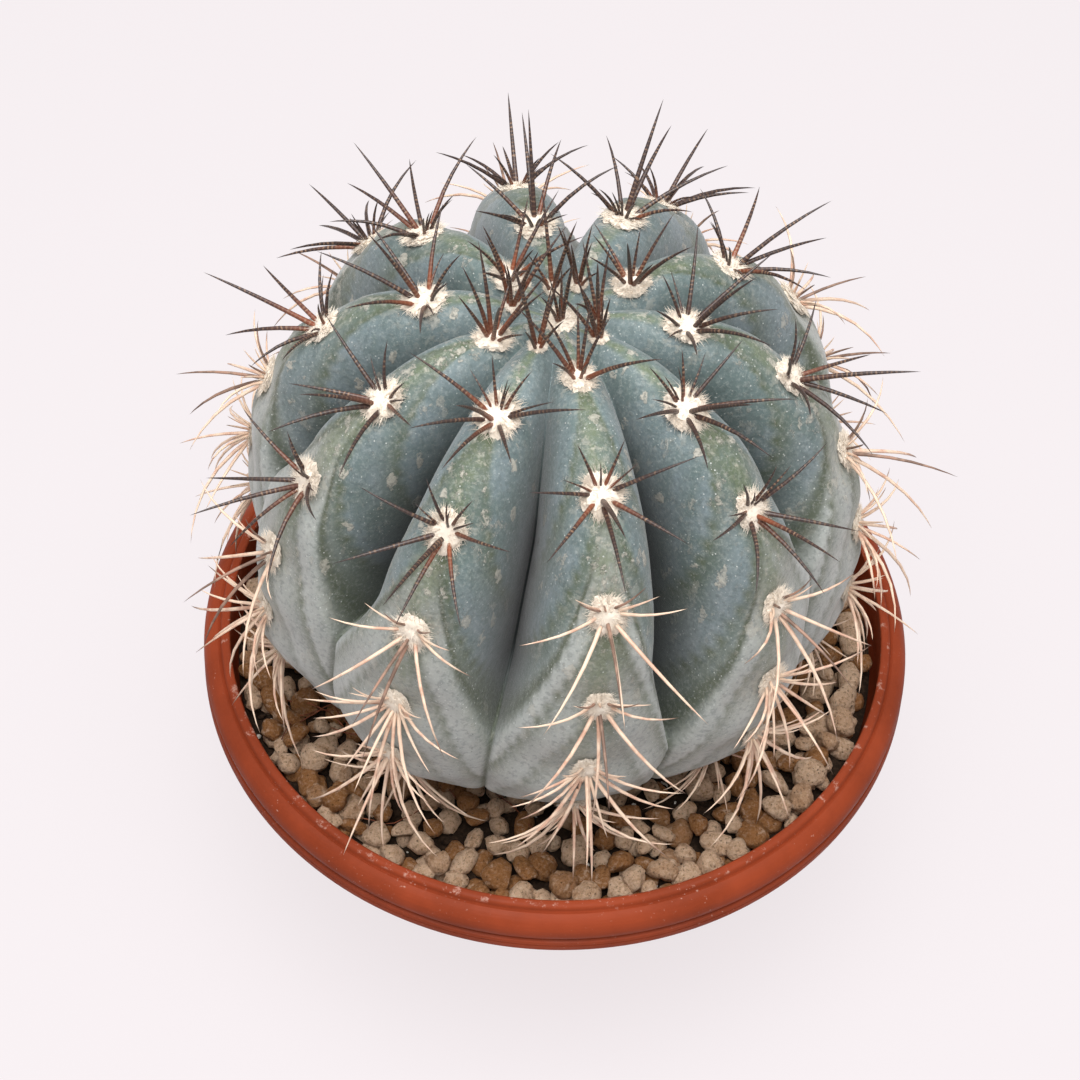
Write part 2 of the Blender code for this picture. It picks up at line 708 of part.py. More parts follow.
def spray(owner, frame, distance, pattern, rng, grown, pads, skin):
    """Spines of one areole, which stand in a ring on its wool."""
    found = []
    spread = cushion_length(distance) * SPINE_ROOT_SPREAD
    lifted = YOUNG_LIFT * max(1.0 - distance / YOUNG_UNTIL, 0.0)
    for turn, lean, length, radius in pattern:
        turn += rng.uniform(-SPINE_TURN_SPREAD, SPINE_TURN_SPREAD)
        lean += rng.uniform(-SPINE_TURN_SPREAD, SPINE_TURN_SPREAD) / 2.0 + lifted
        length *= rng.uniform(1.0 - SPINE_LENGTH_SPREAD, 1.0 + SPINE_LENGTH_SPREAD)
        spine = grow(owner, frame, spread, turn, lean, length, radius, grown, pads, skin)
        if spine is not None:
            found.append(spine)
    return found


def seat(piece, stem_cutter):
    """Cut a piece to sit on the skin, a gap clear of it."""
    apply_boolean(piece, "DIFFERENCE", "MANIFOLD", other=stem_cutter)
    keep_largest_body(piece)


def crown_wool(finish):
    """Felt that covers the growing point, following the ribs where they begin."""
    bm = bmesh.new()
    columns = [(rib, across) for rib in range(RIBS) for across in (-1.0, -0.5, 0.0, 0.5)]
    edge = angle_at(CROWN_WOOL_REACH)
    rows = [[stem_point(rib, across, edge * reach, CROWN_WOOL_DEPTH * depth) for rib, across in columns]
            for reach, depth in CROWN_WOOL_RINGS]
    rows.append([stem_point(rib, across, edge, -CROWN_WOOL_SINK) for rib, across in columns])
    loops = [[bm.verts.new(point) for point in row] for row in rows]
    top = bm.verts.new(around(0.0, 0.0, crest(0.0)[1] + CROWN_WOOL_DEPTH))
    bottom = bm.verts.new(around(0.0, 0.0, crest(0.0)[1] - CROWN_WOOL_CORE))
    count = len(columns)
    for index in range(count):
        after = (index + 1) % count
        bm.faces.new((top, loops[0][index], loops[0][after]))
        bm.faces.new((bottom, loops[-1][after], loops[-1][index]))
        for inner, outer in zip(loops, loops[1:]):
            bm.faces.new((inner[index], outer[index], outer[after], inner[after]))
    return place("crown", bm, finish)


def make_crown(wool, dark, stem_cutter, rng, grown, pads, skin):
    """Wool and upright spines of the growing point, with the youngest areoles round it."""
    crown = crown_wool(wool)
    repeats = []
    for rib, distance in enumerate(YOUNGEST_AREOLE):
        if distance > CROWN_REACH:
            continue
        near = areole_frame(rib, distance)
        repeats.append(cushion("pad", near, YOUNG_PAD_LENGTH, wool))
        for spine in spray("crown", near, distance, UPPER_SPINES, rng, grown, pads, skin):
            repeats.append(needle(*spine, dark))
    for index in range(CROWN_SPINES):
        turn = 360.0 * index / CROWN_SPINES + rng.uniform(-CROWN_SPINE_SWING, CROWN_SPINE_SWING)
        near = areole_frame(index % RIBS, rng.uniform(*CROWN_SPINE_DISTANCE))
        near = (near[0], Vector((0.0, 0.0, 1.0)), near[2], near[3])
        length = rng.uniform(*CROWN_SPINE_LENGTH)
        lean = rng.uniform(*CROWN_SPINE_LEAN)
        spine = grow("crown", near, 0.0, turn, lean, length, CROWN_SPINE_RADIUS, grown, pads, skin)
        if spine is not None:
            repeats.append(needle(*spine, dark))
    fuse(crown, repeats)
    seat(crown, stem_cutter)


def make_areoles(wool, dark, pale, stem_cutter, rng, grown, pads, skin):
    """Every areole below the crown: a wool pad with its spray of spines."""
    for rib in range(RIBS):
        for row, distance in enumerate(areole_distances(rib)):
            if distance < CROWN_REACH:
                continue
            owner = f"areole_{rib}_{row}"
            frame = areole_frame(rib, distance)
            old = distance > PALE_FROM
            finish = pale if old else dark
            piece = cushion(owner, frame, cushion_length(distance), wool)
            pattern = LOWER_SPINES if old else UPPER_SPINES
            spines = spray(owner, frame, distance, pattern, rng, grown, pads, skin)
            fuse(piece, [needle(*spine, finish) for spine in spines])
            seat(piece, stem_cutter)


def make_pads():
    """Room that each areole's wool takes, so that spines keep off it."""
    pads = []
    for rib in range(RIBS):
        for row, distance in enumerate(areole_distances(rib)):
            owner = "crown" if distance < CROWN_REACH else f"areole_{rib}_{row}"
            pads.append((owner, areole_frame(rib, distance)[0], cushion_length(distance)))
    return pads


def main():
    """Build every piece in its place."""
    clear_scene()
    clay = material("pot", (0.33, 0.085, 0.045), 0.42)
    earth = material("soil", (0.035, 0.022, 0.015), 0.95)
    pumice = material("gravel", (0.42, 0.29, 0.19), 0.9)
    skin_finish = material("stem", (0.17, 0.24, 0.22), 0.55)
    wool = material("wool", (0.72, 0.64, 0.54), 0.95)
    dark = material("spines_dark", (0.10, 0.045, 0.03), 0.5)
    pale = material("spines_pale", (0.62, 0.45, 0.34), 0.6)
    make_pot(clay)
    place("stem", stem_mesh(0.0), skin_finish, STEM_SHARP)
    stem_cutter = place("stem_room", stem_mesh(GAP), skin_finish)
    stem_cutter.hide_render = True
    stem_cutter.display_type = "WIRE"
    make_soil(earth, stem_cutter)
    make_gravel(pumice)
    bm = stem_mesh(GAP)
    skin = BVHTree.FromBMesh(bm)
    bm.free()
    rng = random.Random(SPINE_SEED)
    grown = []
    pads = make_pads()
    make_crown(wool, dark, stem_cutter, rng, grown, pads, skin)
    make_areoles(wool, dark, pale, stem_cutter, rng, grown, pads, skin)


main()
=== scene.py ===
"""Fine shapes and finishes of the potted turk's cap cactus, laid out as an add-on and run as a script.

Metres, +Z up. The pot stands on z = 0, and the cactus's best side faces -Y.
"""

import math
import random

import bpy
import numpy as np
from mathutils import Matrix, Vector, noise
from mathutils.bvhtree import BVHTree


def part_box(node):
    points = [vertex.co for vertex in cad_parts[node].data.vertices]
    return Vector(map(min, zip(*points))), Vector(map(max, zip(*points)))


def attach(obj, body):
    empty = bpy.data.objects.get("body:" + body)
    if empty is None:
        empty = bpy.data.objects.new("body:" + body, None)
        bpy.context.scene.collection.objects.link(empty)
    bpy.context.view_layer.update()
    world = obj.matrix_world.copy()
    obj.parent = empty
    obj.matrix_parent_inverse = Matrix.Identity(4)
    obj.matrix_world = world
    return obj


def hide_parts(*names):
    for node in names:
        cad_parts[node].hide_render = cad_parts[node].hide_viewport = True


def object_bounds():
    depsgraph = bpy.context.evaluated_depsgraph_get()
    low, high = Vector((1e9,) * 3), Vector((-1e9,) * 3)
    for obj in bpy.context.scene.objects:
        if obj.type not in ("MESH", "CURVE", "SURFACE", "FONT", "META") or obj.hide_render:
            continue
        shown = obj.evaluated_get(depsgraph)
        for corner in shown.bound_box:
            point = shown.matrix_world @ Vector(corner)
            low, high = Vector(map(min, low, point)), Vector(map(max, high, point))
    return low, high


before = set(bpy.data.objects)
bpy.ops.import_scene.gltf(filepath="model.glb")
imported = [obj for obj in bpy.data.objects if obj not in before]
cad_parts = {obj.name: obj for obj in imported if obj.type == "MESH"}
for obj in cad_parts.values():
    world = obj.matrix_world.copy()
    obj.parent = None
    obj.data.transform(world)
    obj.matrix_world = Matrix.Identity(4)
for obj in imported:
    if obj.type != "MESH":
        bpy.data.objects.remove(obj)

bl_info = {
    "name": "Potted turk's cap cactus",
    "version": (1, 0, 0),
    "blender": (4, 5, 0),
    "location": "3D View > Sidebar > Cactus",
    "description": "Builds a ten-ribbed blue cactus in a gravel-dressed bowl pot, piece by piece",
    "category": "Add Mesh",
}

BODY = "root"
MERGE = 0.00001

# Seeds of the random draws, one for each step that scatters
SOIL_SEED = 21
GRAVEL_SEED = 8
AREOLE_SEED = 3
CROWN_SEED = 12

# Box of the whole cactus, which no spine passes
CACTUS_LOW, CACTUS_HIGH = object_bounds()

# The pot's box gives its rim, and its outline is drawn inward from there
_, POT_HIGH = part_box("pot")
RIM_RADIUS = POT_HIGH.x
LIP_HEIGHT = POT_HIGH.z
LIP_RADIUS = RIM_RADIUS - 0.0072
GROOVE_RADIUS = RIM_RADIUS - 0.0014
GROOVE_HEIGHT = LIP_HEIGHT - 0.0085
GROOVE_ROUNDING = 0.0008
LIP_ROUNDING = 0.0007
SKIRT_BOTTOM = LIP_HEIGHT - 0.0132
SKIRT_WALL = 0.0020
WALL = 0.0022
EDGE_ROUNDING = 0.0007
AXIS_CLEARANCE = 0.0040
INNER_FOOT = 0.0010
UNDER_RIM = (RIM_RADIUS - 0.0055, LIP_HEIGHT - 0.0105)
BELLY_ROUNDNESS = 0.25
BASE_RADIUS = 0.0580
BASE_EDGE = 0.0030
FLOOR_THICKNESS = 0.0030
DRAIN_HOLES = 6
DRAIN_RADIUS = 0.0045
DRAIN_CIRCLE = 0.0350

# Soil: its box gives its top, and the stem's foot stands in its hole
_, SOIL_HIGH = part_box("soil")
SOIL_TOP = SOIL_HIGH.z
SOIL_GAP = 0.0005
SOIL_FOOT = BASE_RADIUS - 0.0020
SOIL_RINGS = 36
SOIL_WAVES = 260.0
SOIL_ROUGHNESS = 0.0011
HOLE_RADIUS = 0.0360
HOLE_FOOT = 0.0200
HOLE_DEPTH = 0.0120
CRUMB_KINDS = 6
CRUMB_SIZES = (0.0006, 0.0020)
CRUMB_CLEARANCE = 0.0015
PERLITE_SIZES = (0.0004, 0.0009)
PERLITE_LIFT = 0.0016
ROOTLET_SECTORS = ((-50.0, -5.0), (-75.0, -45.0), (0.0, 360.0))
ROOTLET_PLACES = (0.0550, 0.0680)
ROOTLET_LIFTS = (0.0035, 0.0060)
ROOTLET_LENGTHS = (0.0100, 0.0220)
ROOTLET_RADII = (0.00010, 0.00022)
ROOTLET_BEND = 1.3

# Stones: their tops stay below a height, and they nest into each other
STONES_TOP = 0.0740
STONES_TOP_AT_WALL = 0.0762
STONES_RISE = (0.0700, 0.0840)
STONES_SQUASH = 0.80
STONES_SINK = 0.80
STONES_NEST = 0.90
STONES_SLUMP = 0.35
STONES_MOSTLY_SMALL = 1.4
SETTLING_TRIES = 24
WALL_CLEARANCE = 0.0004
NECK_CLEARANCE = 0.0010
STONE_SHAPES = ((1.12, 0.82), (1.0, 0.78), (1.25, 0.80), (1.05, 0.90), (1.75, 0.74))
STONE_LEAN = 0.8
WORN_SIDES = 5
WORN_FROM = (0.58, 0.88)
WORN_SHARE = 0.72

# Stem: the rule that its crests, grooves and areoles follow
RIBS = 10
STEM_CENTRE = Vector((-0.0030, 0.0, 0.0))
STEM_RADIUS = 0.0812
WIDEST_HEIGHT = 0.1234
STEM_RISE = 0.0840
STEM_DROP = 0.0468
CREST_WIDTH_POWER = 0.78
CREST_HEIGHT_POWER = 0.81
APEX_DIP = 0.0050
APEX_DIP_WIDTH = 0.0203
TUCK_START = 1.9
TUCK_ANGLE = 2.15
NECK_RADIUS = 0.0460
NECK_FULLNESS = 0.0080
NECK_HEIGHT = 0.0640
NECK_LEAD = 0.0110
NECK_SETTLE = 0.0090
ROOT_RADIUS = 0.0400
ROOT_HEIGHT = 0.0480
FIRST_RIB_TURN = math.radians(9.5)
RIB_TWIST = math.radians(3.9) / 0.060
TWIST_HEIGHT = 0.1326
GROOVE_DEPTH = 0.0350
GROOVE_DEEPEST = 0.95
GROOVE_REACH_UP = 0.62
GROOVE_REACH_DOWN = 1.10
GROOVE_OPENING = 0.18
PLUMP_FLANK = 3.3
KEELED_FLANK = 3.6
KEELED_BETWEEN = (1.15, 2.0)
CREST_SWELL = 0.0016
CREST_TABLE_STEPS = 1200
CREST_TABLE_REACH = 1.06
CREST_SLOPE_STEP = 0.002
SKIN_WAVES = 2.4
SKIN_WAVE_HEIGHT = 0.0007

# Pale skirts: each starts at the areole nearest to a distance and ends in its groove, one end a groove
SKIRT_FROM = 0.0600
SKIRT_ENDS = (0.1380, 0.1060, 0.1080, 0.1150, 0.1100, 0.1180, 0.1120, 0.1090, 0.1170, 0.1290)
SKIRT_KEEL = 0.0030
SKIRT_SPREAD = 0.90
SKIRT_EDGE = 0.0110
SKIRT_HOLLOW = 0.06
CREASE_DEPTH = 0.0012
CREASE_POWER = 14.0

# Skin round each areole: a hollow for the wool, a chin below it and a fold down each flank
HOLLOW_DEPTH = 0.0009
HOLLOW_SPREAD = 0.0048
CHIN_RISE = 0.0007
CHIN_BELOW = 0.0068
CHIN_LENGTH = 0.0042
CHIN_WIDTH = 0.0060
FOLD_LEAD = 0.0022
FOLD_RUN = 0.0620
FOLD_SPREAD = 1.25
FOLD_FRONT = 0.0020
FOLD_TRAIL = 0.0085
FOLD_DEPTH = 0.00030
FOLD_FADE = 0.35
FOLD_FADES_BETWEEN = (0.0600, 0.1300)
SCAR_SPREAD = 0.0085

# Areoles: the youngest of each rib by its distance from the growing point, then the closing steps
YOUNGEST_AREOLE = (0.0221, 0.0412, 0.0313, 0.0203, 0.0399, 0.0312, 0.0168, 0.0336, 0.0189, 0.0362)
AREOLE_STEP = 0.0325
AREOLE_CLOSING = 0.07
AREOLES_ON_RIB = (6, 6, 6, 6, 5, 6, 6, 6, 6, 6)
CROWN_REACH = 0.0250
YOUNG_PADS = {1: 0.0130, 2: 0.0095, 4: 0.0110, 5: 0.0090, 7: 0.0120, 9: 0.0135}
PALE_FROM = 0.0800
BROWN_UNTIL = 0.1150
FAN_FROM = 0.1150
PAD_LENGTH = (0.0056, 0.0034)
PAD_FADE = 0.1700
PAD_HEIGHT = 0.0050
PAD_LIFT = 0.0001
PAD_GROWTH = (1.10, 1.26)
PAD_AGES_BETWEEN = (0.0500, 0.1200)
CROWN_PAD_SHARE = 0.92
YOUNG_PAD_LENGTH = 0.0027
HEART_PAD_LENGTH = 0.0048
HEART_DISTANCE = 0.0015

# Wool of a pad, in shares of half its length
PAD_SHAPE = (0.92, 0.80, 0.32)
TUFTS = 9
TUFTED_SHARE = 0.6
HAIR_WIDTH = 0.016
HAIR_LENGTHS = (0.16, 0.52)

# Taper of a spine, as (share of its length, share of its radius)
SPINE_TAPER = ((0.0, 1.0), (0.06, 1.08), (0.15, 0.98), (0.35, 0.88), (0.55, 0.74), (0.75, 0.52),
               (0.90, 0.27))

# Spines: thickness as a start and a share of the length, bends and stretches as shares of it, rings by the
# radians they turn in a metre, and the small extra ones as (turn, lean, length)
DARK_THICKNESS = (0.00028, 0.0158)
PALE_THICKNESS = (0.00024, 0.0105)
EXTRA_THICKNESS = (0.00022, 0.0120)
YOUNG_THICKNESS = (0.00024, 0.0150)
DARK_BENDS = (0.04, 0.10)
PALE_BENDS = (0.08, 0.14)
SPINE_STRETCHES = (0.96, 1.22)
RING_TURNS = 5200.0
RING_SWAY = 12.0
SHORTEST_AXIS = 0.0055
SPINES_APART = 0.0011
ROOT_DEPTH = 0.0012
ROOT_LIFT = 0.0006
SKIN_CLEARANCE = 0.0006
SPINES_ABOVE = STONES_TOP - 0.0010
CHECKED_SHARES = (0.35, 0.55, 0.75, 0.9, 1.0)
BROWN_LEAN = 0.45
YOUNG_SPREAD = 0.0024
STEEPEST = 86.0
SMALL_SPINES = ((-62.0, 30.0, 0.011), (58.0, 30.0, 0.010), (8.0, 46.0, 0.009), (-12.0, 58.0, 0.010),
                (20.0, 66.0, 0.008))
FAN_SPINES = ((104.0, 18.0, 0.020), (-108.0, 20.0, 0.021), (158.0, 24.0, 0.024), (-162.0, 26.0, 0.023),
              (118.0, 34.0, 0.017))

# Upright spines of the crown: how many to a pad, their shortest and longest, and their lean
CROWN_SPRAY = (8, (0.012, 0.026), 32.0)
YOUNG_SPRAY = (6, (0.010, 0.025), 48.0)
HEART_SPRAY = (6, (0.010, 0.020), 62.0)

# Camera: place and aim found from the rim's ellipse and the areoles, with a long lens slightly rolled
CAMERA_PLACE = Vector((0.0, -0.41999, 0.6512))
CAMERA_TARGET = Vector((-0.005933, 0.03234, 0.0726))
CAMERA_ROLL = 0.043
SENSOR = 36.0
FOCAL_PIXELS = 2500.0
IMAGE_PIXELS = 1080.0

# Floor and lamp
FLOOR_RADIUS = 6.0
FLOOR_DROP = 0.0002
LAMP_PLACE = (-0.02, -0.20, 1.18)
LAMP_TARGET = Vector((0.0, 0.0, 0.10))
LAMP_SIZE = 1.1
SKY_COLOUR = (1.0, 0.985, 0.99, 1.0)


def smooth_step(value, low, high):
    """Smooth rise from 0 at low to 1 at high."""
    share = np.clip((value - low) / (high - low), 0.0, 1.0)
    return share * share * (3.0 - 2.0 * share)


def cubic(start, lead, settle, finish, share):
    """Point of a cubic curve from start to finish, at a share of its run."""
    rest = 1.0 - share
    return (start * rest ** 3 + lead * 3.0 * rest ** 2 * share
            + settle * 3.0 * rest * share ** 2 + finish * share ** 3)


def crest(angle):
    """Radius and height of the crest line, by the angle swept from the growing point."""
    angle = np.asarray(angle, float)
    radius = STEM_RADIUS * np.maximum(np.sin(angle), 0.0) ** CREST_WIDTH_POWER
    lean = np.cos(angle)
    reach = np.where(lean > 0.0, STEM_RISE, STEM_DROP)
    height = WIDEST_HEIGHT + np.sign(lean) * reach * np.abs(lean) ** CREST_HEIGHT_POWER
    return radius, height - APEX_DIP * np.exp(-((radius / APEX_DIP_WIDTH) ** 2))


def crest_normal(angle):
    """Outward direction of the crest line, as (radial, upward)."""
    r0, z0 = crest(np.asarray(angle, float) - CREST_SLOPE_STEP)
    r1, z1 = crest(np.asarray(angle, float) + CREST_SLOPE_STEP)
    length = np.hypot(r1 - r0, z1 - z0)
    return (z0 - z1) / length, (r1 - r0) / length


TABLE_ANGLES = np.linspace(0.0, TUCK_ANGLE * CREST_TABLE_REACH, CREST_TABLE_STEPS + 1)
TABLE_STEPS = np.hypot(*np.diff(np.array(crest(TABLE_ANGLES)), axis=1))
TABLE_DISTANCES = np.concatenate(([0.0], np.cumsum(TABLE_STEPS)))


def angle_at(distance):
    """Angle of the crest point at a distance from the growing point."""
    return np.interp(distance, TABLE_DISTANCES, TABLE_ANGLES)


def distance_at(angle):
    """Distance along the crest of an angle."""
    return np.interp(angle, TABLE_ANGLES, TABLE_DISTANCES)


def areole_distances(rib):
    """Where a rib bears its areoles, from the youngest to the oldest."""
    distances = [YOUNGEST_AREOLE[rib]]
    while len(distances) < AREOLES_ON_RIB[rib]:
        last = distances[-1]
        distances.append(last + AREOLE_STEP - AREOLE_CLOSING * last)
    return distances


def crest_swell(rib, distance):
    """How far each crest stands out between its areoles."""
    swell = np.zeros_like(distance)
    for number in range(RIBS):
        marks = [0.0] + areole_distances(number)
        for above, below in zip(marks, marks[1:]):
            here = (rib == number) & (distance >= above) & (distance < below)
            swell[here] = CREST_SWELL * np.sin(math.pi * (distance[here] - above) / (below - above)) ** 2
    return swell


def rib_turn(rib, height):
    """Direction of a rib's crest, from -Y towards +X."""
    return FIRST_RIB_TURN + math.tau * rib / RIBS + RIB_TWIST * (height - TWIST_HEIGHT)


def around(turn, radius, height):
    """Points at a turn from -Y towards +X about the stem's axis, one row each."""
    turn, radius, height = np.broadcast_arrays(turn, radius, height)
    return np.stack((radius * np.sin(turn), -radius * np.cos(turn), height), axis=-1) + np.array(STEM_CENTRE)


def groove_depth(angle):
    """Depth of the grooves: none at the growing point, then quickly deep, and closing above the soil."""
    above = np.maximum(GROOVE_DEEPEST - angle, 0.0) / GROOVE_REACH_UP
    below = np.maximum(angle - GROOVE_DEEPEST, 0.0) / GROOVE_REACH_DOWN
    opened = 1.0 - np.exp(-((angle / GROOVE_OPENING) ** 2))
    return GROOVE_DEPTH * np.exp(-(above ** 2) - below ** 3) * opened


def skirt_share(rib, across, distance):
    """How far the flank of a rib has come out into the pale skirt below its fold, from 0 to 1."""
    starts = [min(areole_distances(number), key=lambda mark: abs(mark - SKIRT_FROM))
              for number in range(RIBS)]
    number = np.asarray(rib, int)
    start = np.array(starts)[number]
    end = np.array(SKIRT_ENDS)[(number - (np.asarray(across) < 0.0)) % RIBS]
    fold = start + (end - start) * np.abs(across) ** SKIRT_SPREAD
    return smooth_step(distance, fold - SKIRT_EDGE / 2.0, fold + SKIRT_EDGE / 2.0)


def skin_points(rib, across, angle, lift):
    """Skin of the ribs: across runs from 0 on the crest to 1 or -1 in the grooves."""
    rib, across, angle, lift = (item.astype(float) for item in np.broadcast_arrays(rib, across, angle, lift))
    radius, height = crest(angle)
    out, up = crest_normal(angle)
    power = PLUMP_FLANK + (KEELED_FLANK - PLUMP_FLANK) * smooth_step(angle, *KEELED_BETWEEN)
    skirt = skirt_share(rib, across, distance_at(angle))
    sunk = groove_depth(angle) * np.abs(across) ** power * (1.0 - (1.0 - SKIRT_HOLLOW) * skirt)
    closing = 1.0 - smooth_step(angle, TUCK_START, TUCK_ANGLE)
    sunk += (CREASE_DEPTH * np.abs(across) ** CREASE_POWER + SKIRT_KEEL * np.abs(across) * closing) * skirt
    sunk -= crest_swell(rib, distance_at(angle)) * (1.0 - across * across) ** 2
    sunk -= lift
    turn = rib_turn(rib, height) + across * math.pi / RIBS
    return around(turn, radius - out * sunk, height - up * sunk)


def neck_points(rib, across, share, lift):
    """Underside of the stem, which draws in from the tuck to the soil."""
    top = skin_points(rib, across, TUCK_ANGLE, lift) - np.array(STEM_CENTRE)
    start = np.stack((np.hypot(top[..., 0], top[..., 1]), top[..., 2]), axis=-1)
    out, up = crest_normal(TUCK_ANGLE)
    lead = start + np.array((up, -out)) * NECK_LEAD
    finish = np.array((NECK_RADIUS, NECK_HEIGHT))
    settle = finish + np.stack((NECK_FULLNESS * (1.0 - across * across),
                                np.full_like(across, NECK_SETTLE)), axis=-1)
    spot = cubic(start, lead, settle, finish, share[..., None])
    return around(np.arctan2(top[..., 0], -top[..., 1]), spot[..., 0], spot[..., 1])


def areole_frame(rib, distance):
    """Centre of an areole, with the directions out of the skin, up the rib and to its side."""
    angle = angle_at(distance)
    centre = Vector(skin_points(rib, 0.0, angle, 0.0))
    _, height = crest(angle)
    out, up = crest_normal(angle)
    turn = float(rib_turn(rib, height))
    radial = Vector((math.sin(turn), -math.cos(turn), 0.0))
    outward = radial * float(out) + Vector((0.0, 0.0, float(up)))
    upward = radial * -float(up) + Vector((0.0, 0.0, float(out)))
    return centre, outward, upward, outward.cross(upward)


def pad_length(distance):
    """Half length of an areole's wool pad."""
    share = min(distance / PAD_FADE, 1.0)
    return PAD_LENGTH[0] + (PAD_LENGTH[1] - PAD_LENGTH[0]) * share


def lay_down():
    """Leave edit mode, with nothing selected."""
    if bpy.context.object is not None and bpy.context.object.mode != "OBJECT":
        bpy.ops.object.mode_set(mode="OBJECT")
    bpy.ops.object.select_all(action="DESELECT")


def take_up(piece):
    """Make one piece the only selected one, and active."""
    lay_down()
    piece.select_set(True)
    bpy.context.view_layer.objects.active = piece


def named(piece, name):
    """Name a piece and its mesh."""
    piece.name = name
    piece.data.name = name
    return piece


def join(pieces, name):
    """Join pieces into one with a name."""
    lay_down()
    for piece in pieces:
        piece.select_set(True)
    bpy.context.view_layer.objects.active = pieces[0]
    if len(pieces) > 1:
        bpy.ops.object.join()
    return named(bpy.context.view_layer.objects.active, name)


def copy_of(piece):
    """Copy a piece, with its own mesh."""
    copy = piece.copy()
    copy.data = piece.data.copy()
    bpy.context.scene.collection.objects.link(copy)
    return copy


def put_away(pieces):
    """Remove patterns that copies were made from."""
    for piece in pieces:
        bpy.data.objects.remove(piece, do_unlink=True)


def read_points(mesh):
    """A mesh's points, one row each."""
    flat = np.empty(len(mesh.vertices) * 3, np.float32)
    mesh.vertices.foreach_get("co", flat)
    return flat.reshape(-1, 3).astype(float)


def write_points(mesh, points):
    """Move a mesh's points."""
    mesh.vertices.foreach_set("co", np.asarray(points, np.float32).ravel())
    mesh.update()


def write_mark(mesh, name, values):
    """Keep a value on each point, which the finish reads by name."""
    layer = mesh.attributes.get(name) or mesh.attributes.new(name, "FLOAT", "POINT")
    layer.data.foreach_set("value", np.broadcast_to(values, len(mesh.vertices)).astype(np.float32))


def apply_step(piece, kind, **values):
    """Add a modifier, set it and apply it."""
    take_up(piece)
    step = piece.modifiers.new(kind.lower(), kind)
    for name, value in values.items():
        setattr(step, name, value)
    bpy.ops.object.modifier_apply(modifier=step.name)


def round_off(piece, angle=None):
    """Shade a piece smooth, all over or up to an angle."""
    take_up(piece)
    if angle is None:
        bpy.ops.object.shade_smooth()
    else:
        bpy.ops.object.shade_smooth_by_angle(angle=angle)


def face_out(piece):
    """Merge doubles and turn all faces outwards."""
    take_up(piece)
    bpy.ops.object.mode_set(mode="EDIT")
    bpy.ops.mesh.select_all(action="SELECT")
    bpy.ops.mesh.remove_doubles(threshold=MERGE)
    bpy.ops.mesh.normals_make_consistent(inside=False)
    bpy.ops.object.mode_set(mode="OBJECT")


def dress(piece, *finishes):
    """Give a piece its finishes in place of any others."""
    piece.data.materials.clear()
    for finish in finishes:
        piece.data.materials.append(finish)


def hand_over(piece, slot, *nodes):
    """Fix a finished piece to the cactus, in place of its plain solids."""
    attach(piece, BODY)
    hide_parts(*nodes)


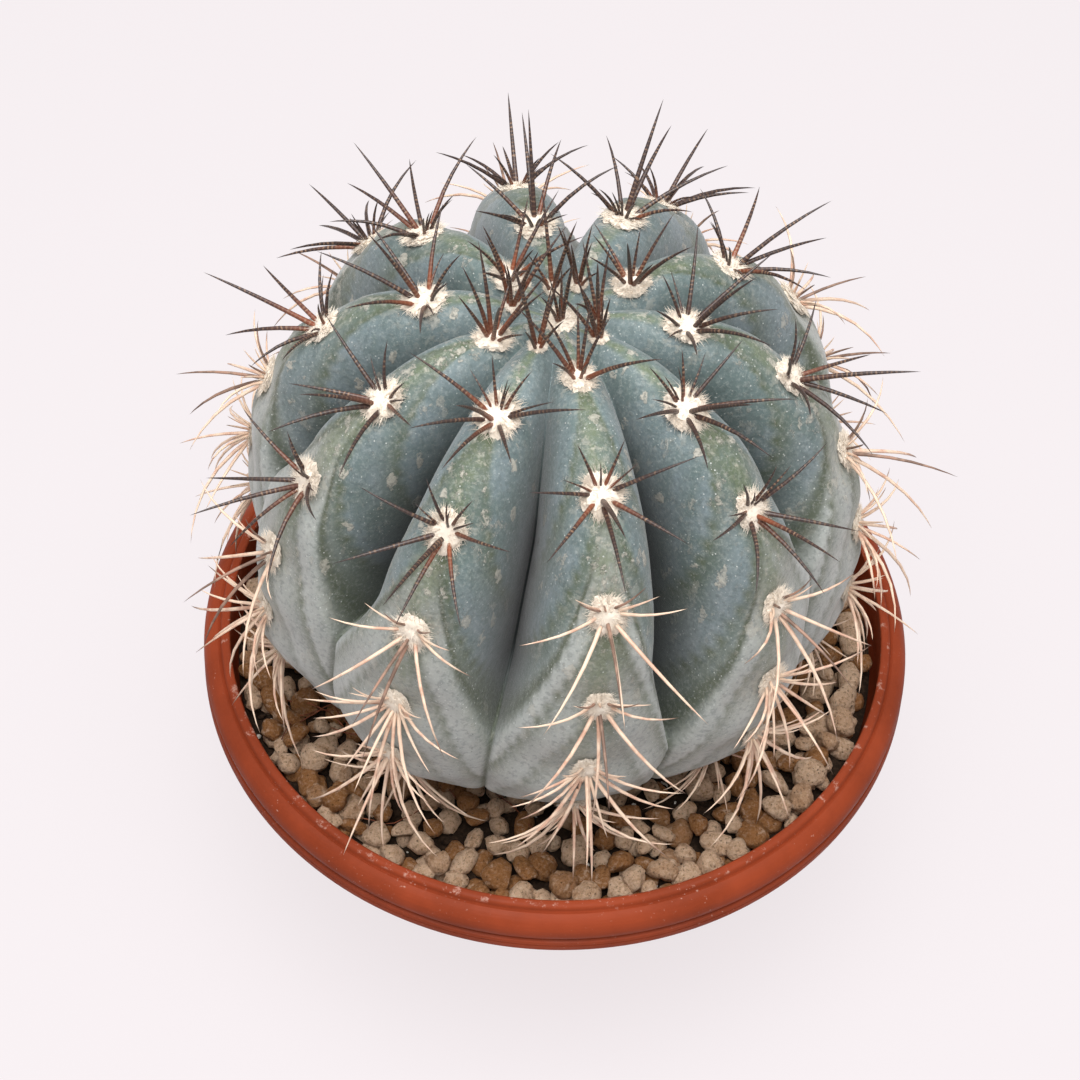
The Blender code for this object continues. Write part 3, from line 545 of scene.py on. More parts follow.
class Finish:
    """A material, built up node by node."""

    def __init__(self, name, roughness, specular=0.4):
        self.material = bpy.data.materials.new(name)
        self.material.use_nodes = True
        self.tree = self.material.node_tree
        self.shader = self.tree.nodes["Principled BSDF"]
        self.shader.inputs["Roughness"].default_value = roughness
        self.shader.inputs["Specular IOR Level"].default_value = specular
        self.place = self.tree.nodes.new("ShaderNodeTexCoord").outputs["Object"]

    def put(self, node, socket, value):
        """Link an output to a socket, or set the socket's value."""
        if isinstance(value, bpy.types.NodeSocket):
            self.tree.links.new(value, node.inputs[socket])
        elif node.inputs[socket].type == "RGBA":
            node.inputs[socket].default_value = (*value, 1.0)
        else:
            node.inputs[socket].default_value = value

    def mark(self, name):
        """A value kept on the piece's points."""
        node = self.tree.nodes.new("ShaderNodeAttribute")
        node.attribute_name = name
        return node.outputs["Fac"]

    def clouds(self, size, detail=3.0, roughness=0.55, place=None):
        """Soft noise with features of a size in metres."""
        node = self.tree.nodes.new("ShaderNodeTexNoise")
        self.put(node, "Vector", place or self.place)
        self.put(node, "Scale", 1.0 / size)
        self.put(node, "Detail", detail)
        self.put(node, "Roughness", roughness)
        return node.outputs[0]

    def cells(self, size, part="Distance", place=None):
        """Scattered cells of a size in metres: distance from each one's centre, or its own random colour."""
        node = self.tree.nodes.new("ShaderNodeTexVoronoi")
        self.put(node, "Vector", place or self.place)
        self.put(node, "Scale", 1.0 / size)
        return node.outputs[part]

    def stretched(self, x, y, z):
        """Places scaled along each axis."""
        node = self.tree.nodes.new("ShaderNodeMapping")
        self.put(node, "Vector", self.place)
        self.put(node, "Scale", (x, y, z))
        return node.outputs[0]

    def maths(self, operation, first, second=0.0):
        """One sum."""
        node = self.tree.nodes.new("ShaderNodeMath")
        node.operation = operation
        self.put(node, 0, first)
        self.put(node, 1, second)
        return node.outputs[0]

    def times(self, *values):
        """Product of two or more values."""
        total = values[0]
        for value in values[1:]:
            total = self.maths("MULTIPLY", total, value)
        return total

    def rise(self, value, low, high, start=0.0, end=1.0):
        """Smooth change from start to end as a value goes from low to high."""
        node = self.tree.nodes.new("ShaderNodeMapRange")
        node.interpolation_type = "SMOOTHSTEP"
        for socket, amount in (("Value", value), ("From Min", low), ("From Max", high),
                               ("To Min", start), ("To Max", end)):
            self.put(node, socket, amount)
        return node.outputs[0]

    def blend(self, share, first, second):
        """Colour between two others."""
        node = self.tree.nodes.new("ShaderNodeMix")
        node.data_type = "RGBA"
        self.put(node, 0, share)
        self.put(node, 6, first)
        self.put(node, 7, second)
        return node.outputs[2]

    def split(self, colour, part):
        """One channel of a colour."""
        node = self.tree.nodes.new("ShaderNodeSeparateColor")
        self.put(node, 0, colour)
        return node.outputs[part]

    def bump(self, height, depth, strength=1.0, under=None):
        """Relief of a depth in metres, over another relief."""
        node = self.tree.nodes.new("ShaderNodeBump")
        self.put(node, "Strength", strength)
        self.put(node, "Distance", depth)
        self.put(node, "Height", height)
        if under is not None:
            self.put(node, "Normal", under)
        return node.outputs[0]

    def wear(self, colour, normal=None, roughness=None):
        """Set what the shader shows, and give back the material."""
        self.put(self.shader, "Base Color", colour)
        if normal is not None:
            self.put(self.shader, "Normal", normal)
        if roughness is not None:
            self.put(self.shader, "Roughness", roughness)
        return self.material


def tinted(colour, share):
    """A colour made darker or lighter by a share."""
    return tuple(min(channel * share, 1.0) for channel in colour)


def colour_property(name, description, default):
    """A colour that a user may change."""
    return bpy.props.FloatVectorProperty(name=name, description=description, subtype="COLOR",
                                         size=3, min=0.0, max=1.0, default=default)


def length_property(name, description, default):
    """A length that a user may change."""
    return bpy.props.FloatProperty(name=name, description=description, unit="LENGTH",
                                   min=0.0, precision=4, default=default)


class StageSettings(bpy.types.PropertyGroup):
    """Floor and light."""

    floor_colour: colour_property("Floor", "Colour of the floor", (0.884, 0.829, 0.847))
    floor_glow: bpy.props.FloatProperty(name="Floor glow", subtype="FACTOR", min=0.0, max=1.0, default=0.90,
                                        description="Share of light given off by the floor")
    sky_strength: bpy.props.FloatProperty(name="Sky", description="Strength of the even light", default=0.34)
    lamp_power: bpy.props.FloatProperty(name="Lamp", description="Power of the main soft light",
                                        unit="POWER", default=23.5)


class PotSettings(bpy.types.PropertyGroup):
    """The bowl."""

    segments: bpy.props.IntProperty(name="Segments", description="Faces round the pot", default=192)
    colour: colour_property("Plastic", "Colour of the pot", (0.245, 0.0425, 0.0155))
    scuff_colour: colour_property("Scuffs", "Colour of the lip's scuffs", (0.62, 0.42, 0.34))


class SoilSettings(bpy.types.PropertyGroup):
    """The soil with its crumbs and rootlets."""

    colour: colour_property("Soil", "Colour of the damp soil", (0.019, 0.011, 0.0065))
    crumb_count: bpy.props.IntProperty(name="Crumbs", description="Number of soil crumbs", default=520)
    perlite_count: bpy.props.IntProperty(name="Perlite", description="Number of white specks", default=90)
    perlite_colour: colour_property("Perlite", "Colour of the white specks", (0.66, 0.62, 0.56))
    rootlet_count: bpy.props.IntProperty(name="Rootlets", description="Number of loose rootlets", default=16)
    rootlet_colour: colour_property("Rootlets", "Colour of the rootlets", (0.17, 0.055, 0.028))


class GravelSettings(bpy.types.PropertyGroup):
    """The loose stones."""

    kinds: bpy.props.IntProperty(name="Kinds", description="Stones that are modelled", default=16)
    count: bpy.props.IntProperty(name="Stones", description="Stones that are tried", default=690)
    smallest: length_property("Smallest", "Width of the smallest stone", 0.0050)
    largest: length_property("Largest", "Width of the largest stone", 0.0090)
    tan: colour_property("Tan", "Colour of most stones", (0.74, 0.50, 0.33))
    ochre: colour_property("Ochre", "Colour of the browner stones", (0.37, 0.165, 0.060))
    dust: colour_property("Dust", "Colour of the dust on the stones", (0.90, 0.70, 0.53))


class StemSettings(bpy.types.PropertyGroup):
    """The ribbed body."""

    columns: bpy.props.IntProperty(name="Columns", description="Faces across a rib", default=40)
    rings: bpy.props.IntProperty(name="Rings", description="Faces from top to bottom", default=192)
    teal: colour_property("Teal", "Colour of the upper flanks", (0.102, 0.142, 0.137))
    blue: colour_property("Bloom", "Colour of the waxy bloom", (0.170, 0.214, 0.234))
    olive: colour_property("Olive", "Colour of the bands below the areoles", (0.066, 0.082, 0.038))
    grey: colour_property("Grey", "Colour of the old skin", (0.385, 0.398, 0.378))
    cork: colour_property("Cork", "Colour of the scabs", (0.47, 0.44, 0.37))


class WoolSettings(bpy.types.PropertyGroup):
    """The areoles' wool."""

    kinds: bpy.props.IntProperty(name="Kinds", description="Pads that are modelled", default=5)
    hairs: bpy.props.IntProperty(name="Hairs", description="Hairs on a pad", default=560)
    cream: colour_property("Cream", "Colour of the young wool", (0.70, 0.615, 0.600))
    weathered: colour_property("Weathered", "Colour of the old wool", (0.62, 0.49, 0.44))


class SpineSettings(bpy.types.PropertyGroup):
    """The spines."""

    sides: bpy.props.IntProperty(name="Sides", description="Faces round a spine", default=7)
    dark: colour_property("Dark", "Colour of the upper spines", (0.034, 0.021, 0.019))
    red: colour_property("Red", "Colour of the upper spines' roots", (0.240, 0.066, 0.028))
    band: colour_property("Bands", "Colour of the fine rings on the upper spines", (0.34, 0.205, 0.125))
    bone: colour_property("Bone", "Colour of the lower spines", (0.76, 0.58, 0.44))
    rose: colour_property("Rose", "Colour of the lower spines' flushes", (0.56, 0.33, 0.235))
    brown: colour_property("Brown", "Colour of the lower spines that stay brown", (0.115, 0.060, 0.042))


class PieceOperator:
    """What every step here shares: it can be undone, and it reads its own settings."""

    bl_options = {"REGISTER", "UNDO"}


def floor_finish(settings):
    """Pale even floor, partly glowing as a light table does."""
    finish = Finish("floor", roughness=0.9, specular=0.1)
    finish.put(finish.shader, "Emission Color", settings.floor_colour)
    finish.put(finish.shader, "Emission Strength", settings.floor_glow)
    return finish.wear(tinted(settings.floor_colour, 1.0 - settings.floor_glow))


class CACTUS_OT_stage(PieceOperator, bpy.types.Operator):
    """Lay the floor, hang the lights and stand the camera"""

    bl_idname = "cactus.stage"
    bl_label = "Stage"

    def execute(self, context):
        settings = context.scene.cactus_stage
        lay_down()
        bpy.ops.mesh.primitive_circle_add(vertices=64, radius=FLOOR_RADIUS, fill_type="NGON",
                                          location=(0.0, 0.0, 0.0))
        floor = named(context.object, "floor")
        write_points(floor.data, read_points(floor.data) - np.array((0.0, 0.0, FLOOR_DROP)))
        dress(floor, floor_finish(settings))
        self.hang_lights(context, settings)
        self.stand_camera(context)
        context.scene.view_settings.view_transform = "Standard"
        return {"FINISHED"}

    def hang_lights(self, context, settings):
        """One large soft light high in front, in an even pale surround."""
        world = context.scene.world or bpy.data.worlds.new("surround")
        context.scene.world = world
        world.use_nodes = True
        sky = world.node_tree.nodes["Background"]
        sky.inputs["Color"].default_value = SKY_COLOUR
        sky.inputs["Strength"].default_value = settings.sky_strength
        bpy.ops.object.light_add(type="AREA", location=LAMP_PLACE)
        lamp = context.object
        lamp.name = "soft_light"
        lamp.data.shape = "DISK"
        lamp.data.size = LAMP_SIZE
        lamp.data.energy = settings.lamp_power
        aim = LAMP_TARGET - lamp.location
        lamp.rotation_euler = aim.to_track_quat("-Z", "Y").to_euler()

    def stand_camera(self, context):
        """Look down on the cactus as the photograph does."""
        bpy.ops.object.camera_add()
        camera = context.object
        camera.name = "camera"
        camera.data.sensor_width = SENSOR
        camera.data.lens = FOCAL_PIXELS / IMAGE_PIXELS * SENSOR
        ahead = (CAMERA_TARGET - CAMERA_PLACE).normalized()
        right = ahead.cross(Vector((0.0, 0.0, 1.0))).normalized()
        up = right.cross(ahead)
        turned_right = right * math.cos(CAMERA_ROLL) + up * math.sin(CAMERA_ROLL)
        turned_up = up * math.cos(CAMERA_ROLL) - right * math.sin(CAMERA_ROLL)
        pose = Matrix((turned_right, turned_up, -ahead)).transposed().to_4x4()
        pose.translation = CAMERA_PLACE
        camera.matrix_world = pose
        context.scene.camera = camera


def arc(middle, radius, start, end, steps):
    """Points of (radius, height) on an arc, by degrees from outward towards up."""
    turns = [math.radians(start + (end - start) * step / steps) for step in range(steps + 1)]
    return [(middle[0] + radius * math.cos(turn), middle[1] + radius * math.sin(turn)) for turn in turns]


def bezier(points, steps):
    """Points on a cubic curve."""
    corners = [np.array(point) for point in points]
    return [tuple(cubic(*corners, step / steps)) for step in range(steps + 1)]


def belly(foot, top, steps=14):
    """Bulging stretch of the wall from its foot to under the rim."""
    points = []
    for step in range(steps + 1):
        share = step / steps
        sweep = math.pi / 2.0 * share
        out = BELLY_ROUNDNESS * math.sin(sweep) + (1.0 - BELLY_ROUNDNESS) * share
        up = BELLY_ROUNDNESS * (1.0 - math.cos(sweep)) + (1.0 - BELLY_ROUNDNESS) * share
        points.append((foot[0] + (top[0] - foot[0]) * out, foot[1] + (top[1] - foot[1]) * up))
    return points


def rim_outline():
    """Outline of the rim's outside, from its skirt up to its lip: bands parted by fine grooves."""
    skirt = GROOVE_HEIGHT - LIP_HEIGHT
    low_band = ((0.0, skirt - 0.0031), (0.00005, skirt - 0.0026), (0.00040, skirt - 0.0023),
                (0.00005, skirt - 0.0020), (0.0001, skirt - 0.0015), (0.0003, skirt - 0.0010))
    shoulder = ((-0.0004, skirt + 0.0010), (0.0003, skirt + 0.0034), (-0.0012, -0.0024), (-0.0043, -0.0013))
    fine_groove = ((0.0046, -0.0014), (0.0049, -0.0016), (0.0052, -0.0013))
    lip_band = ((-0.0053, -0.0010), (-0.0056, -0.0001), (-0.0062, 0.0), (-0.0069, 0.0))
    outline = [(RIM_RADIUS - inset, LIP_HEIGHT + lift) for inset, lift in low_band]
    outline += arc((GROOVE_RADIUS + GROOVE_ROUNDING, GROOVE_HEIGHT), GROOVE_ROUNDING, 250.0, 110.0, 6)
    outline += bezier([(RIM_RADIUS + out, LIP_HEIGHT + lift) for out, lift in shoulder], 12)
    outline += [(RIM_RADIUS - inset, LIP_HEIGHT + lift) for inset, lift in fine_groove]
    outline += bezier([(RIM_RADIUS + out, LIP_HEIGHT + lift) for out, lift in lip_band], 5)
    return outline + arc((LIP_RADIUS - 0.0001, LIP_HEIGHT - LIP_ROUNDING), LIP_ROUNDING, 75.0, 180.0, 5)


def inner_wall():
    """Outline of the wall's inside, from the floor's edge to under the rim."""
    return belly((BASE_RADIUS - INNER_FOOT, FLOOR_THICKNESS), (UNDER_RIM[0] - WALL, UNDER_RIM[1]))


def pot_outline():
    """Outline of the pot's wall, from the middle of its underside over the lip to that of its floor."""
    edge = EDGE_ROUNDING
    outline = [(AXIS_CLEARANCE, 0.0), (BASE_RADIUS / 2.0, 0.0), (BASE_RADIUS - edge, 0.0)]
    outline += belly((BASE_RADIUS + BASE_EDGE, BASE_EDGE), UNDER_RIM)
    outline += arc((GROOVE_RADIUS - SKIRT_WALL - edge, UNDER_RIM[1] - edge), edge, 90.0, 0.0, 3)
    outline += arc((RIM_RADIUS - SKIRT_WALL + edge, SKIRT_BOTTOM + edge), edge, 180.0, 270.0, 3)
    outline += arc((RIM_RADIUS - edge, SKIRT_BOTTOM + edge), edge, 270.0, 360.0, 4)
    outline += rim_outline()
    outline += inner_wall()[::-1]
    return outline + [(BASE_RADIUS / 2.0, FLOOR_THICKNESS), (AXIS_CLEARANCE, FLOOR_THICKNESS)]


def turn_shell(outline, segments, name):
    """Draw a circle out along an outline, and close both ends."""
    lay_down()
    bpy.ops.mesh.primitive_circle_add(vertices=segments, radius=outline[0][0],
                                      location=(0.0, 0.0, outline[0][1]))
    bpy.ops.object.transform_apply(location=True)
    piece = named(bpy.context.object, name)
    bpy.ops.object.mode_set(mode="EDIT")
    bpy.ops.mesh.select_all(action="SELECT")
    bpy.ops.mesh.edge_face_add()
    bpy.ops.mesh.select_mode(type="EDGE")
    for (r0, z0), (r1, z1) in zip(outline, outline[1:]):
        bpy.ops.mesh.extrude_edges_move(TRANSFORM_OT_translate={"value": (0.0, 0.0, z1 - z0)})
        bpy.ops.transform.resize(value=(r1 / r0, r1 / r0, 1.0), center_override=(0.0, 0.0, z1))
    bpy.ops.mesh.edge_face_add()
    bpy.ops.object.mode_set(mode="OBJECT")
    face_out(piece)
    return piece


def pot_finish(settings):
    """Satin terracotta plastic: faint clouding, turning marks, a scuffed lip and a dusty inside."""
    finish = Finish("pot_plastic", roughness=0.5, specular=0.08)
    place = finish.tree.nodes.new("ShaderNodeSeparateXYZ")
    finish.put(place, 0, finish.place)
    pale = tinted(settings.colour, 1.12)
    cloud = finish.rise(finish.clouds(0.030, detail=4.0), 0.35, 0.68)
    colour = finish.blend(cloud, tinted(settings.colour, 0.80), pale)
    mottle = finish.rise(finish.clouds(0.0016, detail=5.0, roughness=0.7), 0.40, 0.75, 0.0, 0.22)
    colour = finish.blend(mottle, colour, pale)
    lip = finish.rise(place.outputs["Z"], LIP_HEIGHT - 0.0011, LIP_HEIGHT - 0.0002)
    chips = finish.rise(finish.clouds(0.0042, detail=6.0, roughness=0.75), 0.56, 0.64)
    colour = finish.blend(finish.times(lip, chips, 0.42), colour, settings.scuff_colour)
    dust = finish.rise(finish.clouds(0.0011, detail=2.0), 0.66, 0.74, 0.0, 0.55)
    dust = finish.times(dust, finish.rise(finish.clouds(0.02), 0.5, 0.7))
    colour = finish.blend(dust, colour, settings.scuff_colour)
    turned = finish.clouds(0.0012, detail=3.0, place=finish.stretched(0.04, 0.04, 1.0))
    relief = finish.bump(finish.clouds(0.0008, detail=3.0), 0.00004, 0.6)
    relief = finish.bump(turned, 0.00022, 0.7, relief)
    relief = finish.bump(finish.clouds(0.0200, detail=1.0), 0.0004, 0.4, relief)
    rough = finish.rise(finish.clouds(0.012, detail=5.0), 0.3, 0.75, 0.42, 0.62)
    return finish.wear(colour, relief, rough)


class CACTUS_OT_pot(PieceOperator, bpy.types.Operator):
    """Turn the bowl with its rolled rim and drain holes"""

    bl_idname = "cactus.pot"
    bl_label = "Pot"

    def execute(self, context):
        settings = context.scene.cactus_pot
        pot = turn_shell(pot_outline(), settings.segments, "pot_bowl")
        drills = []
        for hole in range(DRAIN_HOLES):
            turn = math.tau * hole / DRAIN_HOLES
            spot = (DRAIN_CIRCLE * math.sin(turn), -DRAIN_CIRCLE * math.cos(turn), FLOOR_THICKNESS / 2.0)
            bpy.ops.mesh.primitive_cylinder_add(vertices=40, radius=DRAIN_RADIUS, location=spot,
                                                depth=FLOOR_THICKNESS * 3.0)
            drills.append(context.object)
        drill = join(drills, "drill")
        apply_step(pot, "BOOLEAN", object=drill, operation="DIFFERENCE", solver="EXACT")
        put_away([drill])
        round_off(pot, math.radians(40.0))
        dress(pot, pot_finish(settings))
        hand_over(pot, "pot", "pot")
        return {"FINISHED"}


def wall_radius(height):
    """Inner radius of the pot at a height."""
    radii, heights = zip(*inner_wall())
    return float(np.interp(height, heights, radii))


def soil_finish(settings):
    """Damp dark peat with brown fibres."""
    finish = Finish("soil_peat", roughness=0.92, specular=0.15)
    grain = finish.rise(finish.clouds(0.0012, detail=6.0, roughness=0.75), 0.42, 0.70)
    colour = finish.blend(grain, settings.colour, tinted(settings.colour, 3.2))
    relief = finish.bump(finish.clouds(0.0009, detail=6.0, roughness=0.8), 0.0006)
    return finish.wear(colour, relief)


def perlite_finish(settings):
    """Chalky white mineral specks."""
    finish = Finish("perlite", roughness=0.95, specular=0.1)
    chalk = finish.rise(finish.clouds(0.0006), 0.4, 0.6)
    colour = finish.blend(chalk, tinted(settings.perlite_colour, 0.72), settings.perlite_colour)
    return finish.wear(colour, finish.bump(finish.clouds(0.0003), 0.0001))


def rootlet_finish(settings):
    """Dry red-brown fibre."""
    finish = Finish("rootlet", roughness=0.8, specular=0.2)
    dry = finish.rise(finish.clouds(0.002), 0.45, 0.65)
    return finish.wear(finish.blend(dry, settings.rootlet_colour, tinted(settings.rootlet_colour, 1.9)))


def lump(name, step, roughness, subdivisions):
    """Rough little ball, each step with another shape."""
    lay_down()
    bpy.ops.mesh.primitive_ico_sphere_add(subdivisions=subdivisions, radius=1.0, location=(0.0, 0.0, 0.0))
    piece = named(bpy.context.object, name)
    bpy.ops.object.mode_set(mode="EDIT")
    bpy.ops.mesh.select_all(action="SELECT")
    bpy.ops.transform.vertex_random(offset=roughness, uniform=0.4, normal=0.2, seed=step)
    bpy.ops.object.mode_set(mode="OBJECT")
    return piece


def roughen(piece, size, depth):
    """Push a piece's skin in and out by solid clouds."""
    texture = bpy.data.textures.new("roughness", "CLOUDS")
    texture.noise_scale = size
    apply_step(piece, "DISPLACE", texture=texture, strength=depth, mid_level=0.5)
    bpy.data.textures.remove(texture)


def scatter_lumps(kinds, rng, count, sizes, where):
    """Copies of some lumps, turned and sized at random, at the places that a rule gives."""
    copies = []
    for _ in range(count):
        copy = copy_of(rng.choice(kinds))
        size = rng.uniform(*sizes)
        angle = rng.uniform(0.0, math.tau)
        turn = Matrix.Rotation(angle, 4, (rng.random(), rng.random(), rng.random() + 0.1))
        spread = Matrix.Diagonal((size, size * rng.uniform(0.6, 1.0), size * rng.uniform(0.5, 0.9), 1.0))
        copy.data.transform(Matrix.Translation(where(rng, size)) @ turn @ spread)
        copies.append(copy)
    return copies


def ring_spot(rng, low_radius, high_radius, height):
    """Random spot between two circles, the inner one round the stem and the outer one round the pot."""
    while True:
        x = rng.uniform(-high_radius, high_radius)
        y = rng.uniform(-high_radius, high_radius)
        spot = Vector((x, y, height))
        if spot.xy.length < high_radius and (spot - STEM_CENTRE).xy.length > low_radius:
            return spot


class CACTUS_OT_soil(PieceOperator, bpy.types.Operator):
    """Fill the pot with soil, crumbs, perlite and a few rootlets"""

    bl_idname = "cactus.soil"
    bl_label = "Soil"

    def execute(self, context):
        settings = context.scene.cactus_soil
        self.fill(settings)
        rng = random.Random(SOIL_SEED)
        reach = wall_radius(SOIL_TOP) - CRUMB_CLEARANCE
        kinds = [lump(f"crumb_{step}", step, 0.35, 1) for step in range(CRUMB_KINDS)]
        crumbs = scatter_lumps(kinds, rng, settings.crumb_count, CRUMB_SIZES,
                               lambda rng, size: ring_spot(rng, NECK_RADIUS, reach, SOIL_TOP + size / 2.0))
        self.finish_piece(join(crumbs, "soil_crumbs"), soil_finish(settings))
        specks = scatter_lumps(kinds, rng, settings.perlite_count, PERLITE_SIZES,
                               lambda rng, size: ring_spot(rng, NECK_RADIUS, reach, SOIL_TOP + PERLITE_LIFT))
        self.finish_piece(join(specks, "soil_perlite"), perlite_finish(settings))
        put_away(kinds)
        self.lay_rootlets(settings, rng)
        return {"FINISHED"}

    def finish_piece(self, piece, finish):
        """Dress a part of the soil and hand it over."""
        dress(piece, finish)
        hand_over(piece, "soil", "soil")

    def fill(self, settings):
        """Rough-topped filling, with a hole for the stem's foot."""
        edge = wall_radius(SOIL_TOP) - SOIL_GAP
        floor = FLOOR_THICKNESS + SOIL_GAP
        outline = [(AXIS_CLEARANCE, floor)] + belly((SOIL_FOOT, floor), (edge, SOIL_TOP), 6)
        outline += [(edge - (edge - HOLE_RADIUS) * step / SOIL_RINGS, SOIL_TOP)
                    for step in range(1, SOIL_RINGS + 1)]
        outline += [(HOLE_FOOT, SOIL_TOP - HOLE_DEPTH), (AXIS_CLEARANCE, SOIL_TOP - HOLE_DEPTH)]
        soil = turn_shell(outline, 160, "soil_fill")
        points = read_points(soil.data)
        rough = np.array([noise.fractal(Vector(point) * SOIL_WAVES, 1.0, 2.0, 4) for point in points])
        top = (points[:, 2] > SOIL_TOP - 0.0001) & (np.hypot(points[:, 0], points[:, 1]) < edge - 0.001)
        points[top, 2] += rough[top] * SOIL_ROUGHNESS
        write_points(soil.data, points)
        round_off(soil, math.radians(60.0))
        self.finish_piece(soil, soil_finish(settings))

    def lay_rootlets(self, settings, rng):
        """Thin bent fibres that lie among the crumbs near the stem's foot."""
        fibres = []
        for _ in range(settings.rootlet_count):
            turn = rng.choice([rng.uniform(*sector) for sector in ROOTLET_SECTORS])
            radius = rng.uniform(*ROOTLET_PLACES)
            start = Vector(around(math.radians(turn), radius, SOIL_TOP + rng.uniform(*ROOTLET_LIFTS)))
            heading = rng.uniform(0.0, math.tau)
            length = rng.uniform(*ROOTLET_LENGTHS)
            bend = rng.uniform(-ROOTLET_BEND, ROOTLET_BEND)
            path = []
            for share in np.linspace(0.0, 1.0, 8):
                way = heading + bend * share
                step = Vector((math.cos(way), math.sin(way), rng.uniform(-0.12, 0.05)))
                path.append(start + step * length * share)
            fibres.append(tube(path, rng.uniform(*ROOTLET_RADII), "fibre"))
        rootlets = join(fibres, "soil_rootlets")
        round_off(rootlets)
        self.finish_piece(rootlets, rootlet_finish(settings))


def tube(path, radius, name):
    """Round thread along a path, with its ends filled."""
    curve = bpy.data.curves.new(name, "CURVE")
    curve.dimensions = "3D"
    curve.bevel_depth = radius
    curve.bevel_resolution = 1
    curve.use_fill_caps = True
    spline = curve.splines.new("POLY")
    spline.points.add(len(path) - 1)
    for point, spot in zip(spline.points, path):
        point.co = (*spot, 1.0)
    thread = bpy.data.objects.new(name, curve)
    bpy.context.scene.collection.objects.link(thread)
    take_up(thread)
    bpy.ops.object.convert(target="MESH")
    return bpy.context.object


def gravel_finish(settings):
    """Pumice and baked clay: pitted, dusty stones from tan to ochre, each with its own tint."""
    finish = Finish("gravel_stone", roughness=0.93, specular=0.15)
    tint = finish.mark("tint")
    colour = finish.blend(finish.rise(tint, 0.48, 0.74), settings.tan, settings.ochre)
    patch = finish.clouds(0.0026, detail=5.0, roughness=0.65)
    colour = finish.blend(finish.rise(patch, 0.50, 0.68, 0.0, 0.50), colour, settings.ochre)
    colour = finish.blend(finish.rise(patch, 0.30, 0.46, 0.50, 0.0), colour, settings.dust)
    grain = finish.clouds(0.00085, detail=5.0, roughness=0.75)
    dusty = finish.times(finish.rise(grain, 0.51, 0.62), finish.rise(tint, 0.45, 0.70, 0.55, 0.16))
    colour = finish.blend(dusty, colour, settings.dust)
    dark = tinted(settings.ochre, 0.30)
    colour = finish.blend(finish.rise(grain, 0.36, 0.46, 0.62, 0.0), colour, dark)
    pit_size = 0.0013
    pits = finish.rise(finish.cells(pit_size), 0.10, 0.26, 1.0, 0.0)
    pits = finish.times(pits, finish.rise(finish.split(finish.cells(pit_size, "Color"), 0), 0.70, 0.74))
    colour = finish.blend(finish.times(pits, 0.75), colour, dark)
    relief = finish.bump(finish.maths("SUBTRACT", 1.0, pits), 0.00030)
    relief = finish.bump(finish.clouds(0.0014, detail=6.0, roughness=0.75), 0.00110, 1.0, relief)
    relief = finish.bump(grain, 0.00110, 1.0, relief)
    return finish.wear(colour, relief)


